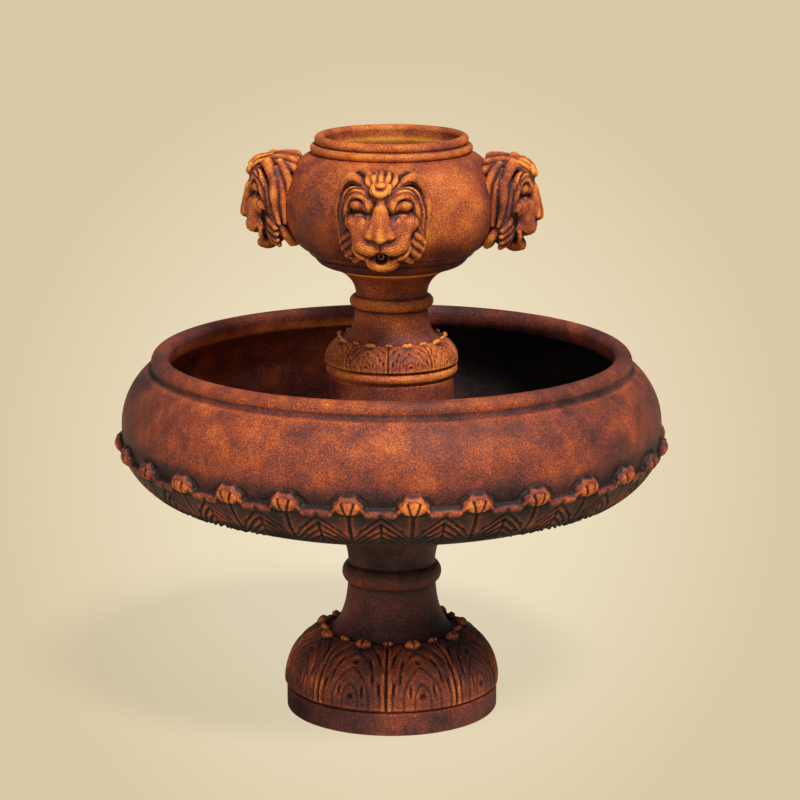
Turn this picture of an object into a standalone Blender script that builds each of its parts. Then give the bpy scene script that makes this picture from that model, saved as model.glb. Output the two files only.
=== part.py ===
"""Garden fountain of stacked stone castings: lower pedestal, leaf-banded basin, pump riser,
upper pedestal and an urn with four lion-head spouts, with its pump and pipework inside.

Metres, +Z up. The origin is the centre of the plinth's underside, and the front lion faces -Y.
Angles round the fountain run from -Y towards +X.
"""

import math
from typing import NamedTuple

import bmesh
import bpy
from mathutils import Matrix, Vector, geometry

# Space left between pieces that rest on or fit into each other, and how far joined shapes overlap
SEAT_GAP = 0.0003
OVERLAP = 0.001

# Lower pedestal
PEDESTAL_LEAVES = 9
LOWER_TURN = math.radians(1.2)
LOWER_HEIGHT = 0.4657
PLINTH_RADIUS = 0.2393
PLINTH_HEIGHT = 0.052
PLINTH_ROUNDING = 0.006
PLINTH_GROOVE_DEPTH = 0.007
PLINTH_GROOVE_WIDTH = 0.004
LOWER_MOUND_RADIUS = 0.2365
LOWER_MOUND_DEPTH = 0.1165
LOWER_MOUND_HEIGHT = 0.113
LOWER_MOUND_DEGS = (-7, 81)
LOWER_LEAF_RELIEF = 0.006
LOWER_STEM_RADIUS = 0.099
LOWER_STEM_HEIGHT = 0.112
LOWER_SKIRT_RADIUS = 0.103
LOWER_SKIRT_HEIGHT = 0.037
LOWER_FLARE_START = 0.07
LOWER_TORUS_HEIGHT = 0.041
LOWER_TORUS_DEPTH = 0.0135
LOWER_TOP_RADIUS = 0.165
LOWER_TOP_EDGE = 0.006
LOWER_CORE_RADIUS = 0.055
BELL_RADIUS = 0.185
BELL_HEIGHT = 0.17
CORD_NOTCH_WIDTH = 0.030
CORD_NOTCH_HEIGHT = 0.026

# Leaf relief, as shares of a leaf's width or of its length from foot to tip
LEAF_SHOULDER = 0.46
LEAF_TAPER = 0.18
LEAF_CUT = 0.12
VEIN_DEPTH = 0.45
VEIN_WIDTH = 0.08
CURL_HEIGHT = 1.2
CURL_PLACE = 0.86
CURL_LENGTH = 0.10
CURL_WIDTH = 0.16
TIP_START = 0.93

# Basin
BASIN_LEAVES = 28
BASIN_TURN = math.radians(2.2)
BASIN_RADIUS = 0.604
BASIN_FOOT_RADIUS = 0.175
BASIN_UNDERSIDE_RADIUS = 0.42
BASIN_UNDERSIDE_RISE = 0.006
BASIN_FLOOR = 0.0457
BASIN_WALL = 0.046
BELLY_DEPTH = 0.164
BELLY_CENTRE = BASIN_RADIUS - BELLY_DEPTH
BELLY_HALF_HEIGHT = 0.158
BELLY_LEVEL = 0.202
COLLAR_LOW_DEG = -64.8
COLLAR_HIGH_DEG = -6.0
BELLY_HIGH_DEG = 49.0
COLLAR_LEDGE = 0.012
BASIN_LEAF_RELIEF = 0.007
BUD_RELIEF = 0.024
COLLAR_CUT = 0.09
COLLAR_VEIN_DEPTH = 0.6
COLLAR_VEIN_WIDTH = 0.10
COLLAR_TIP = (0.70, 0.80)
BUD_SIDE = (0.20, 0.27)
BUD_FOOT = (0.66, 0.74)
BUD_TOP = (0.96, 1)
BUD_GROOVE_DEPTH = 0.35
BUD_GROOVE_PLACE = 0.14
BUD_GROOVE_WIDTH = 0.05
LIP_RADIUS = BASIN_RADIUS - 0.0875
LIP_ROLL = 0.020
LIP_NOTCH = 0.008
LIP_RISE = LIP_NOTCH + LIP_ROLL * math.sin(math.radians(40))
DRAIN_RADIUS = 0.0145
DRAIN_SEAT_RADIUS = 0.0205
DRAIN_SEAT_DEPTH = 0.025

# Pump riser
RISER_RADIUS = 0.140
RISER_HEIGHT = 0.262
RISER_WALL = 0.022
RISER_ROUNDING = 0.005
INLET_WIDTH = 0.036
INLET_HEIGHT = 0.030
ARCH_STEPS = 6

# Upper pedestal
UPPER_TURN = math.radians(1.2)
UPPER_HEIGHT = 0.242
UPPER_PLINTH_RADIUS = 0.1475
UPPER_PLINTH_HEIGHT = 0.0245
UPPER_PLINTH_ROUND = 0.0095
UPPER_GROOVE_WIDTH = 0.003
UPPER_GROOVE_DEPTH = 0.006
UPPER_MOUND_RADIUS = 0.1445
UPPER_MOUND_DEPTH = 0.0695
UPPER_MOUND_HEIGHT = 0.053
UPPER_MOUND_DEGS = (-9, 62)
UPPER_LEAF_RELIEF = 0.004
UPPER_STEM_RADIUS = 0.0815
UPPER_STEM_HEIGHT = 0.069
UPPER_SKIRT_HEIGHT = 0.014
UPPER_NECK_RADIUS = 0.0795
UPPER_FLARE_START = 0.044
UPPER_TORUS_HEIGHT = 0.027
UPPER_TORUS_DEPTH = 0.013
UPPER_TOP_RADIUS = 0.124
UPPER_TOP_EDGE = 0.003
UPPER_CORE_RADIUS = 0.035

# Urn
URN_FOOT_RADIUS = 0.125
URN_OGEE_RADIUS = 0.163
URN_MOULD_RADIUS = 0.1715
URN_MOULD_HEIGHT = 0.0262
URN_BAND_RADIUS = 0.186
URN_BAND_HEIGHT = 0.0183
URN_STEP = 0.004
URN_BODY_CENTRE = 0.15
URN_BODY_DEPTH = 0.0921
URN_BODY_LOW = 0.113
URN_BODY_HIGH = 0.1175
URN_LOW_DEG = -60.7
URN_HIGH_DEG = 66.8
URN_BEAD_RADIUS = 0.172
URN_BEAD_DEPTH = 0.009
URN_BEAD_HEIGHT = 0.020
URN_BEAD_RISE = 0.006
URN_LIP_RADIUS = 0.1595
URN_LIP_ROLL = 0.0105
URN_LIP_RISE = 0.0055
URN_WALL = 0.027
URN_UNDER_WALL = 0.023
URN_HOLLOW_LOW_DEG = -78
URN_HOLLOW_HIGH_DEG = 72
URN_FLOOR = 0.034
URN_FLOOR_WELL = 0.010

# Lion heads and their spouts
LION_SIDES = ["front", "right", "back", "left"]
LION_SIZE = 0.220
LION_LEVEL = 0.1414
SPOUT_LEVEL = 0.0734
SPOUT_RADIUS = 0.0065
SPOUT_BORE = 0.005
SPOUT_REACH = 0.293
SPOUT_INSIDE = 0.006
LION_UNIT = LION_SIZE / 220
LION_VOXEL = 4.5 * LION_UNIT
LION_FACES = 430

# Rounded masses of a lion's head, in lion units: across, up and out, then half sizes the same
# three ways. Across is from its middle line, up from its centre and out from the urn's widest wall.
MIDDLE_MASSES = [
    (0, 12, -10, 74, 86, 68),
    (0, -2, -20, 94, 104, 46),
    (0, 83, 20, 40, 22, 34),
    (0, 78, 60, 18, 14, 20),
    (0, 50, 48, 50, 26, 26),
    (0, -24, 77, 29, 15, 18),
    (0, -86, 34, 34, 18, 26),
    (0, -62, 20, 40, 26, 22),
]
PAIRED_MASSES = [
    (36, 46, 56, 24, 12, 21),
    (58, 4, 28, 24, 30, 28),
    (25, -43, 62, 24, 19, 24),
    (70, 66, 2, 20, 24, 24),
    (44, 90, -2, 30, 18, 28),
]
SOCKET = (42, 24, 70, 17, 10, 18)
MOUTH = (0, -68, 60, 13.5, 9.5, 20)

# Tapered ridges and locks, in lion units: the ends and middle of each path, then its two end radii
RIDGES = [
    ([(0, 52, 58), (0, 10, 66), (0, -16, 74)], 20, 25),
    ([(30, -52, 58), (36, -68, 44), (30, -84, 34)], 11, 10),
]
LOCKS = [
    ([(10, 96, 28), (50, 94, 20), (78, 66, 10)], 13, 9),
    ([(68, 76, 4), (84, 40, 4), (82, 0, 8)], 13, 10),
    ([(74, 40, 16), (72, 5, 20), (80, -30, 8)], 10, 9),
    ([(82, 10, -4), (82, -30, -4), (74, -62, -8)], 13, 8),
    ([(70, -20, 16), (68, -55, 8), (52, -86, 2)], 12, 8),
    ([(50, -36, 30), (54, -66, 20), (40, -94, 12)], 10, 8),
]

# Pump, standing beside the drain under the riser
PUMP_BEHIND = 0.060
PUMP_LENGTH = 0.062
PUMP_WIDTH = 0.056
PUMP_HEIGHT = 0.052
PUMP_ROUNDING = 0.006
SHELL_ROUNDING = 0.002
PUMP_START = -0.012
PUMP_FOOT_RADIUS = 0.008
PUMP_FOOT_HEIGHT = 0.008
PUMP_FOOT_WAIST = 0.0044
VOLUTE_LENGTH = 0.022
VOLUTE_RADIUS = 0.0185
VOLUTE_INLET = 0.008
STRAINER_LENGTH = 0.024
STRAINER_WALL = 0.0025
STRAINER_SLOTS = 5
SLOT_WIDTH = 0.004
FINE_ROUNDING = 0.0005
ROTOR_RADIUS = 0.011
ROTOR_LENGTH = 0.032
ROTOR_CLEARANCE = 0.001
IMPELLER_RADIUS = 0.0155
IMPELLER_HUB = 0.006
IMPELLER_LENGTH = 0.011
BLADES = 5
BLADE_THICKNESS = 0.0018
SHAFT_RADIUS = 0.0015
RUN_GAP = 0.0004
BUSH_RADIUS = 0.004
BUSH_LENGTH = 0.004
SPIDER_ARMS = 3
SPIDER_RING = 0.002
DIAL_RADIUS = 0.012
DIAL_THICKNESS = 0.004
DIAL_STEM_RADIUS = 0.003
DIAL_RIB = 0.003
GLAND_RADIUS = 0.007
GLAND_LENGTH = 0.010
GLAND_BORE = 0.0035

# Pipework
HOSE_RADIUS = 0.0085
HOSE_BORE = 0.0065
BARB_BORE = 0.0045
BARB_LENGTH = 0.022
BARB_COLLAR = 0.010
BARB_COLLAR_THICKNESS = 0.003
BARB_TAIL = 0.006
BARBS = 3
BARB_TAPER = 0.88
HOSE_BEND_POINTS = 7
CLAMP_WIDTH = 0.009
CLAMP_BAND = 0.0012
CLAMP_HOUSING = 0.010
CLAMP_HOUSING_HEIGHT = 0.006
FITTING_THREAD_RADIUS = 0.0125
FITTING_FLANGE_RADIUS = 0.022
FITTING_FLANGE = 0.004
WASHER_THICKNESS = 0.002
WASHER_MARGIN = 0.003
NUT_RADIUS = 0.020
NUT_THICKNESS = 0.009

# Drain stopper
STOPPER_HEAD = 0.006
STOPPER_SHORT = 0.003
STOPPER_BORE = 0.0042

# Places that follow from the sizes above
BASIN_BASE = LOWER_HEIGHT + SEAT_GAP
RISER_BASE = BASIN_BASE + BASIN_FLOOR + SEAT_GAP
UPPER_BASE = RISER_BASE + RISER_HEIGHT + SEAT_GAP
URN_BASE = UPPER_BASE + UPPER_HEIGHT + SEAT_GAP
PUMP_BASE = RISER_BASE + PUMP_FOOT_HEIGHT + SEAT_GAP
ROTOR_PLACE = (0, PUMP_BEHIND, PUMP_BASE + PUMP_HEIGHT / 2)
PUMP_END = PUMP_START + PUMP_LENGTH
CHAMBER_END = PUMP_START + ROTOR_LENGTH + ROTOR_CLEARANCE
BUSH_END = CHAMBER_END + BUSH_LENGTH
COVER_START = PUMP_START - SEAT_GAP - VOLUTE_LENGTH
COVER_WALL = VOLUTE_LENGTH - IMPELLER_LENGTH - 2 * ROTOR_CLEARANCE
CAGE_START = COVER_START - SEAT_GAP - STRAINER_LENGTH
IMPELLER_START = PUMP_START - IMPELLER_LENGTH
OUTLET_AT = COVER_START + VOLUTE_LENGTH / 2
OUTLET_TOP = PUMP_BASE + PUMP_HEIGHT + SEAT_GAP

SEGMENTS_SMALL = 16
SEGMENTS_PIPE = 10
SEGMENTS_SHAFT = 8
SEGMENTS_STOPPER = 14
URN_COLUMNS = 28
RISER_COLUMNS = 28
BARB_RADIUS = HOSE_BORE * math.cos(math.pi / SEGMENTS_PIPE) - SEAT_GAP


class Ring(NamedTuple):
    """One ring of a turned piece: every stride-th column is used, and along is its place on a leaf."""

    radius: float
    height: float
    stride: int = 1
    along: float = None


def clear_scene():
    for item in list(bpy.data.objects):
        bpy.data.objects.remove(item, do_unlink=True)


def finish(name, color, roughness, metallic):
    """Principled material with one colour."""
    material = bpy.data.materials.new(name)
    material.use_nodes = True
    shader = material.node_tree.nodes["Principled BSDF"]
    shader.inputs["Base Color"].default_value = (*color, 1.0)
    shader.inputs["Roughness"].default_value = roughness
    shader.inputs["Metallic"].default_value = metallic
    return material


def place(name, shape, material, location=(0, 0, 0), turn=0.0):
    """Named object from a bmesh, shaded smooth over its gentle edges."""
    bmesh.ops.recalc_face_normals(shape, faces=shape.faces)
    mesh = bpy.data.meshes.new(name)
    shape.to_mesh(mesh)
    shape.free()
    mesh.shade_smooth()
    mesh.set_sharp_from_angle(angle=math.radians(40))
    mesh.materials.append(material)
    return place_mesh(name, mesh, location, turn)


def place_mesh(name, mesh, location=(0, 0, 0), turn=0.0):
    item = bpy.data.objects.new(name, mesh)
    item.location = location
    item.rotation_euler.z = turn
    bpy.context.scene.collection.objects.link(item)
    return item


def clear_bore(radius, sides):
    """Corner radius of a faceted bore whose flats clear a round bar of the given radius."""
    return (radius + SEAT_GAP) / math.cos(math.pi / sides)


def combine(item, name, shape, location=(0, 0, 0), turn=0.0, operation="DIFFERENCE"):
    """Cuts a shape out of an item, or joins it on, through a hidden object. Returns that object."""
    tool = place(name, shape, item.data.materials[0], location, turn)
    tool.hide_render = True
    tool.display_type = "WIRE"
    modifier = item.modifiers.new(name, "BOOLEAN")
    modifier.operation = operation
    modifier.object = tool
    modifier.solver = "EXACT"
    return tool


def ellipse_arc(centre, radii, start_deg, end_deg, steps):
    """(radius, height) points along an ellipse, both ends included."""
    angles = [math.radians(start_deg + (end_deg - start_deg) * i / steps) for i in range(steps + 1)]
    return [(centre[0] + radii[0] * math.cos(a), centre[1] + radii[1] * math.sin(a)) for a in angles]


def bulge(start, end, depth, steps):
    """Points after start and up to end along a circular arc that swells to the right of its path."""
    first, last = Vector(start), Vector(end)
    chord = last - first
    right = Vector((chord.y, -chord.x)).normalized()
    half = chord.length / 2
    radius = (half * half + depth * depth) / (2 * depth)
    centre = (first + last) / 2 + right * (depth - radius)
    sweep = 2 * math.atan2(half, radius - depth)
    spoke = first - centre
    turns = [Matrix.Rotation(sweep * i / steps, 2) @ spoke for i in range(1, steps + 1)]
    return [tuple(centre + arm) for arm in turns]


def sweep_curve(start, control, end, steps):
    """Points after start and up to end along a curve drawn towards one control point."""
    a, b, c = Vector(start), Vector(control), Vector(end)
    shares = [i / steps for i in range(1, steps + 1)]
    return [tuple(a * (1 - t) ** 2 + b * 2 * t * (1 - t) + c * t * t) for t in shares]


def rings(points, stride=1):
    return [Ring(radius, height, stride) for radius, height in points]


def leafed(points, stride=1):
    """Rings that carry leaves, from the leaf's foot to its tip."""
    last = len(points) - 1
    return [Ring(r, h, stride, i / last) for i, (r, h) in enumerate(points)]


def column_angles(repeats, shares):
    """Angles of the columns of a turned piece, from the shares of one repeat where they stand."""
    return [2 * math.pi * (i + share) / repeats for i in range(repeats) for share in shares]


def even_columns(count):
    return column_angles(count, [0.0])


def bridge(shape, first, second):
    """Faces between two rings, one of which may have several points for each of the other's."""
    if len(first) < len(second):
        first, second = second, first
    times = len(first) // len(second)
    middle = times // 2
    count = len(second)
    for j in range(count):
        near, far = second[j], second[(j + 1) % count]
        run = [first[(j * times + i) % len(first)] for i in range(times + 1)]
        if times == 1:
            shape.faces.new((run[0], run[1], far, near))
            continue
        for i in range(times):
            shape.faces.new((run[i], run[i + 1], near if i < middle else far))
        shape.faces.new((near, run[middle], far))


def turned_shape(section, angles, relief=None):
    """Solid of revolution from a closed half section that runs up its outer side."""
    shape = bmesh.new()
    loops = []
    for index, ring in enumerate(section):
        before = section[index - 1]
        after = section[(index + 1) % len(section)]
        outward = Vector((after.height - before.height, before.radius - after.radius)).normalized()
        loop = []
        for angle in angles[:: ring.stride]:
            lift = relief(angle, ring.along) if relief and ring.along is not None else 0.0
            radius = ring.radius + outward.x * lift
            height = ring.height + outward.y * lift
            loop.append(shape.verts.new((radius * math.sin(angle), -radius * math.cos(angle), height)))
        loops.append(loop)
    for index, loop in enumerate(loops):
        bridge(shape, loop, loops[(index + 1) % len(loops)])
    return shape


def turned_solid(points, segments):
    """Solid of revolution without a bore: the outline starts and ends on the axis."""
    shape = bmesh.new()
    loops = []
    for radius, height in points[1:-1]:
        loop = []
        for angle in even_columns(segments):
            loop.append(shape.verts.new((radius * math.sin(angle), -radius * math.cos(angle), height)))
        loops.append(loop)
    for lower, upper in zip(loops, loops[1:]):
        bridge(shape, lower, upper)
    shape.faces.new(loops[0])
    shape.faces.new(loops[-1])
    return shape


def stepped_bar(start, steps, sides):
    """Solid round bar along Z from start, with each step's radius kept up to that step's end."""
    points = [(0, start)]
    for radius, end in steps:
        points += [(radius, points[-1][1]), (radius, end)]
    return turned_solid(points + [(0, points[-1][1])], sides)


def smooth_step(low, high, value):
    share = min(max((value - low) / (high - low), 0.0), 1.0)
    return share * share * (3 - 2 * share)


def from_leaf_centre(angle, repeats):
    """Place across a leaf, -0.5 to 0.5, for leaves whose edges start at angle 0."""
    return (angle * repeats / (2 * math.pi)) % 1.0 - 0.5


def pedestal_leaf(depth):
    """Relief of one broad leaf: a raised body, cut edges, a sunk vein and a curled tip."""

    def relief(angle, along):
        across = abs(from_leaf_centre(angle, PEDESTAL_LEAVES))
        shoulder = LEAF_SHOULDER - LEAF_TAPER * along**2
        body = 1 - smooth_step(shoulder - LEAF_CUT, shoulder, across)
        vein = VEIN_DEPTH * (1 - smooth_step(0, VEIN_WIDTH, across)) * (1 - along)
        curled = ((along - CURL_PLACE) / CURL_LENGTH) ** 2 + (across / CURL_WIDTH) ** 2
        ends = smooth_step(0, 1 - TIP_START, along) * (1 - smooth_step(TIP_START, 1, along))
        return depth * ends * (body - vein + CURL_HEIGHT * math.exp(-curled))

    return relief


def collar_relief(angle, along):
    """Relief of the basin's leaf collar, with a three-lobed bud over each joint between leaves."""
    across = from_leaf_centre(angle, BASIN_LEAVES)
    edge = 0.5 - abs(across)
    leaf = smooth_step(0, COLLAR_CUT, edge) * (1 - smooth_step(*COLLAR_TIP, along))
    vein = COLLAR_VEIN_DEPTH * (1 - smooth_step(0, COLLAR_VEIN_WIDTH, abs(across)))
    groove = 1 - smooth_step(0, BUD_GROOVE_WIDTH, abs(edge - BUD_GROOVE_PLACE))
    bud = (1 - smooth_step(*BUD_SIDE, edge)) * smooth_step(*BUD_FOOT, along) * (1 - smooth_step(*BUD_TOP, along))
    return BASIN_LEAF_RELIEF * leaf * (1 + vein) + BUD_RELIEF * bud * (1 - BUD_GROOVE_DEPTH * groove)


def arch_prism(width, height, length):
    """Round-topped notch cutter along X, from below its foot up to its crown."""
    half = width / 2
    spring = height - half
    outline = [(-half, -height), (half, -height)]
    outline += ellipse_arc((0, spring), (half, half), 0, 180, ARCH_STEPS)
    shape = bmesh.new()
    near = [shape.verts.new((0, y, z)) for y, z in outline]
    face = shape.faces.new(near)
    grown = bmesh.ops.extrude_face_region(shape, geom=[face])
    moved = [v for v in grown["geom"] if isinstance(v, bmesh.types.BMVert)]
    bmesh.ops.translate(shape, verts=moved, vec=(length, 0, 0))
    return shape


def make_lower_pedestal(stone):
    groove_top = PLINTH_HEIGHT + PLINTH_GROOVE_WIDTH
    mound_centre = LOWER_MOUND_RADIUS - LOWER_MOUND_DEPTH
    mound_level = groove_top - LOWER_MOUND_HEIGHT * math.sin(math.radians(LOWER_MOUND_DEGS[0]))
    mound_radii = (LOWER_MOUND_DEPTH, LOWER_MOUND_HEIGHT)
    mound = ellipse_arc((mound_centre, mound_level), mound_radii, *LOWER_MOUND_DEGS, 5)
    skirt = (LOWER_SKIRT_RADIUS, mound[-1][1] + LOWER_SKIRT_HEIGHT)
    stem_top = mound[-1][1] + LOWER_STEM_HEIGHT
    torus_top = stem_top + LOWER_TORUS_HEIGHT
    stem = (LOWER_STEM_RADIUS, stem_top)
    neck = (LOWER_STEM_RADIUS, torus_top)
    flare = (LOWER_STEM_RADIUS, torus_top + LOWER_FLARE_START)
    shelf = LOWER_HEIGHT - LOWER_TOP_EDGE
    deep = LOWER_MOUND_RADIUS - PLINTH_GROOVE_DEPTH
    section = rings(
        [
            (PLINTH_RADIUS - PLINTH_ROUNDING, 0),
            (PLINTH_RADIUS, PLINTH_ROUNDING),
            (PLINTH_RADIUS, PLINTH_HEIGHT - PLINTH_ROUNDING / 2),
            (deep, PLINTH_HEIGHT),
            (deep, groove_top),
        ],
        2,
    )
    section += leafed(mound)
    section += rings(sweep_curve(mound[-1], skirt, stem, 2), 2)
    section += rings(bulge(stem, neck, LOWER_TORUS_DEPTH, 4), 2)
    section += rings(sweep_curve(neck, flare, (LOWER_TOP_RADIUS, shelf), 3), 2)
    section += rings([(LOWER_TOP_RADIUS, LOWER_HEIGHT)], 2)
    section += rings(
        [(LOWER_CORE_RADIUS, LOWER_HEIGHT), (LOWER_CORE_RADIUS, BELL_HEIGHT), (BELL_RADIUS, 0)], 4
    )
    columns = column_angles(PEDESTAL_LEAVES, [0, 0.13, 0.25, 0.38, 0.5, 0.62, 0.75, 0.87])
    shape = turned_shape(section, columns, pedestal_leaf(LOWER_LEAF_RELIEF))
    pedestal = place("lower_pedestal", shape, stone, turn=LOWER_TURN)
    notch = arch_prism(CORD_NOTCH_WIDTH, CORD_NOTCH_HEIGHT, PLINTH_RADIUS)
    combine(pedestal, "cord_notch", notch, (0, BELL_RADIUS / 2, 0), math.pi / 2)


def make_basin(stone):
    radii = (BELLY_DEPTH, BELLY_HALF_HEIGHT)
    centre = (BELLY_CENTRE, BELLY_LEVEL)
    collar = ellipse_arc(centre, radii, COLLAR_LOW_DEG, COLLAR_HIGH_DEG, 6)
    belly = ellipse_arc(centre, radii, COLLAR_HIGH_DEG, BELLY_HIGH_DEG, 3)
    ledge = (collar[0][0] - COLLAR_LEDGE, collar[0][1] - COLLAR_LEDGE / 2)
    foot = (BASIN_FOOT_RADIUS, 0)
    underside = (BASIN_UNDERSIDE_RADIUS, BASIN_UNDERSIDE_RISE)
    lip_level = belly[-1][1] + LIP_RISE
    lip = ellipse_arc((LIP_RADIUS, lip_level), (LIP_ROLL, LIP_ROLL), -28, 190, 5)
    hollow = (BELLY_DEPTH - BASIN_WALL, BELLY_HALF_HEIGHT - BASIN_WALL / 2)
    inside = ellipse_arc(centre, hollow, 60, -70, 3)
    section = rings([foot], 6)
    section += rings(sweep_curve(foot, underside, ledge, 3), 6)
    section += leafed(collar)
    section += rings(belly[1:], 3)
    section += rings([(LIP_RADIUS + LIP_ROLL, belly[-1][1] + LIP_NOTCH / 2)], 3)
    section += rings(lip, 3)
    section += rings(inside, 3)
    well = ((inside[-1][0] + BASIN_FOOT_RADIUS) / 2, BASIN_FLOOR + BASIN_UNDERSIDE_RISE)
    section += rings([well, (BASIN_FOOT_RADIUS, BASIN_FLOOR)], 6)
    section += rings(
        [
            (DRAIN_SEAT_RADIUS, BASIN_FLOOR),
            (DRAIN_RADIUS, BASIN_FLOOR - DRAIN_SEAT_DEPTH),
            (DRAIN_RADIUS, 0),
        ],
        12,
    )
    columns = column_angles(BASIN_LEAVES, [0, 0.13, 0.26, 0.5, 0.74, 0.87])
    shape = turned_shape(section, columns, collar_relief)
    place("basin", shape, stone, (0, 0, BASIN_BASE), BASIN_TURN)


def make_riser(stone):
    inner = RISER_RADIUS - RISER_WALL
    shoulder = RISER_HEIGHT - RISER_ROUNDING
    section = rings(
        [
            (RISER_RADIUS, 0),
            (RISER_RADIUS, shoulder),
            (RISER_RADIUS - RISER_ROUNDING, RISER_HEIGHT),
            (inner, RISER_HEIGHT),
            (inner, 0),
        ]
    )
    base = (0, 0, RISER_BASE)
    riser = place("pump_riser", turned_shape(section, even_columns(RISER_COLUMNS)), stone, base)
    for index in range(2):
        arch = arch_prism(INLET_WIDTH, INLET_HEIGHT, 4 * RISER_RADIUS)
        bmesh.ops.translate(arch, verts=arch.verts, vec=(-2 * RISER_RADIUS, 0, 0))
        combine(riser, f"riser_inlets_{index}", arch, base, index * math.pi / 2)


def make_upper_pedestal(stone):
    groove = UPPER_PLINTH_HEIGHT + UPPER_GROOVE_WIDTH
    mound_level = groove - UPPER_MOUND_HEIGHT * math.sin(math.radians(UPPER_MOUND_DEGS[0]))
    mound_centre = (UPPER_MOUND_RADIUS - UPPER_MOUND_DEPTH, mound_level)
    mound = ellipse_arc(mound_centre, (UPPER_MOUND_DEPTH, UPPER_MOUND_HEIGHT), *UPPER_MOUND_DEGS, 4)
    skirt = (UPPER_STEM_RADIUS, mound[-1][1] + UPPER_SKIRT_HEIGHT)
    stem_top = mound[-1][1] + UPPER_STEM_HEIGHT
    torus_top = stem_top + UPPER_TORUS_HEIGHT
    stem = (UPPER_STEM_RADIUS, stem_top)
    neck = (UPPER_NECK_RADIUS, torus_top)
    flare = (UPPER_STEM_RADIUS, torus_top + UPPER_FLARE_START)
    shelf = (UPPER_TOP_RADIUS, UPPER_HEIGHT - UPPER_TOP_EDGE)
    foot = (UPPER_PLINTH_RADIUS - UPPER_PLINTH_ROUND, 0)
    crown = (UPPER_PLINTH_RADIUS - UPPER_PLINTH_ROUND, UPPER_PLINTH_HEIGHT)
    deep = UPPER_MOUND_RADIUS - UPPER_GROOVE_DEPTH
    section = rings([foot] + bulge(foot, crown, UPPER_PLINTH_ROUND, 3))
    section += rings([(deep, UPPER_PLINTH_HEIGHT), (deep, groove)])
    section += leafed(mound)
    section += rings(sweep_curve(mound[-1], skirt, stem, 2))
    section += rings(bulge(stem, neck, UPPER_TORUS_DEPTH, 3))
    section += rings(sweep_curve(neck, flare, shelf, 3))
    section += rings([(UPPER_TOP_RADIUS, UPPER_HEIGHT)])
    section += rings([(UPPER_CORE_RADIUS, UPPER_HEIGHT), (UPPER_CORE_RADIUS, 0)], 2)
    columns = column_angles(PEDESTAL_LEAVES, [0, 0.16, 0.5, 0.84])
    shape = turned_shape(section, columns, pedestal_leaf(UPPER_LEAF_RELIEF))
    place("upper_pedestal", shape, stone, (0, 0, UPPER_BASE), UPPER_TURN)


def urn_outside():
    """Outer outline of the urn from its foot to the bead's top, with the level of the body's centre."""
    foot = (URN_FOOT_RADIUS, 0)
    mould_top = (URN_MOULD_RADIUS, URN_MOULD_HEIGHT)
    band_low = (URN_MOULD_RADIUS + URN_STEP, URN_MOULD_HEIGHT + URN_STEP / 2)
    band_top = (URN_BAND_RADIUS, URN_MOULD_HEIGHT + URN_BAND_HEIGHT)
    level = band_top[1] - URN_BODY_LOW * math.sin(math.radians(URN_LOW_DEG))
    lower = ellipse_arc((URN_BODY_CENTRE, level), (URN_BODY_DEPTH, URN_BODY_LOW), URN_LOW_DEG, 0, 3)
    upper = ellipse_arc((URN_BODY_CENTRE, level), (URN_BODY_DEPTH, URN_BODY_HIGH), 0, URN_HIGH_DEG, 4)
    bead = (URN_BEAD_RADIUS, upper[-1][1] + URN_BEAD_RISE)
    bead_top = (URN_BEAD_RADIUS - URN_STEP, bead[1] + URN_BEAD_HEIGHT)
    points = [foot] + sweep_curve(foot, (URN_OGEE_RADIUS, URN_STEP), mould_top, 2)
    points += [band_low] + sweep_curve(band_low, (URN_BAND_RADIUS, band_low[1] + URN_STEP), band_top, 2)
    points += lower + upper[1:]
    points += [bead] + bulge(bead, bead_top, URN_BEAD_DEPTH, 3)
    return points, level


def urn_hollow(level):
    """Inner outline of the urn's wall from the throat down to its floor."""
    radii = (URN_BODY_DEPTH - URN_WALL, URN_BODY_LOW - URN_UNDER_WALL)
    return ellipse_arc((URN_BODY_CENTRE, level), radii, URN_HOLLOW_HIGH_DEG, URN_HOLLOW_LOW_DEG, 4)


def radius_at(outline, level):
    """Radius of a falling outline where it passes a level."""
    spans = zip(outline, outline[1:])
    above, below = next(span for span in spans if span[0][1] >= level >= span[1][1])
    share = (level - below[1]) / (above[1] - below[1])
    return below[0] + (above[0] - below[0]) * share


def make_urn(stone):
    outside, level = urn_outside()
    lip_level = outside[-1][1] + URN_LIP_ROLL + URN_LIP_RISE
    lip = ellipse_arc((URN_LIP_RADIUS, lip_level), (URN_LIP_ROLL, URN_LIP_ROLL), -50, 190, 4)
    throat = (URN_LIP_RADIUS - URN_LIP_ROLL, outside[-1][1] - URN_BEAD_HEIGHT)
    bore = clear_bore(FITTING_THREAD_RADIUS, URN_COLUMNS // 2)
    section = rings(outside + lip + [throat] + urn_hollow(level))
    section += rings(
        [(FITTING_FLANGE_RADIUS + URN_FLOOR_WELL, URN_FLOOR), (bore, URN_FLOOR), (bore, 0)], 2
    )
    urn = place("urn", turned_shape(section, even_columns(URN_COLUMNS)), stone, (0, 0, URN_BASE))
    for index, side in enumerate(LION_SIDES):
        hole = radial_bar(clear_bore(SPOUT_RADIUS, SEGMENTS_PIPE))
        combine(urn, f"spout_hole_{side}", hole, (0, 0, URN_BASE + SPOUT_LEVEL), side_turn(index))


def side_turn(index):
    """Turn of one of the lions about the fountain's axis."""
    return 2 * math.pi * index / len(LION_SIDES)


def radial_bar(radius):
    """Round bar along -Y that runs out from the urn's middle past the lion's mouth."""
    start, end = URN_LIP_RADIUS - URN_LIP_ROLL, SPOUT_REACH + LION_SIZE / 2
    bar = stepped_bar(start, [(radius, end)], SEGMENTS_PIPE)
    turn = Matrix.Rotation(math.pi / 2, 3, "X")
    bmesh.ops.rotate(bar, verts=bar.verts, cent=(0, 0, 0), matrix=turn)
    return bar


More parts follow.
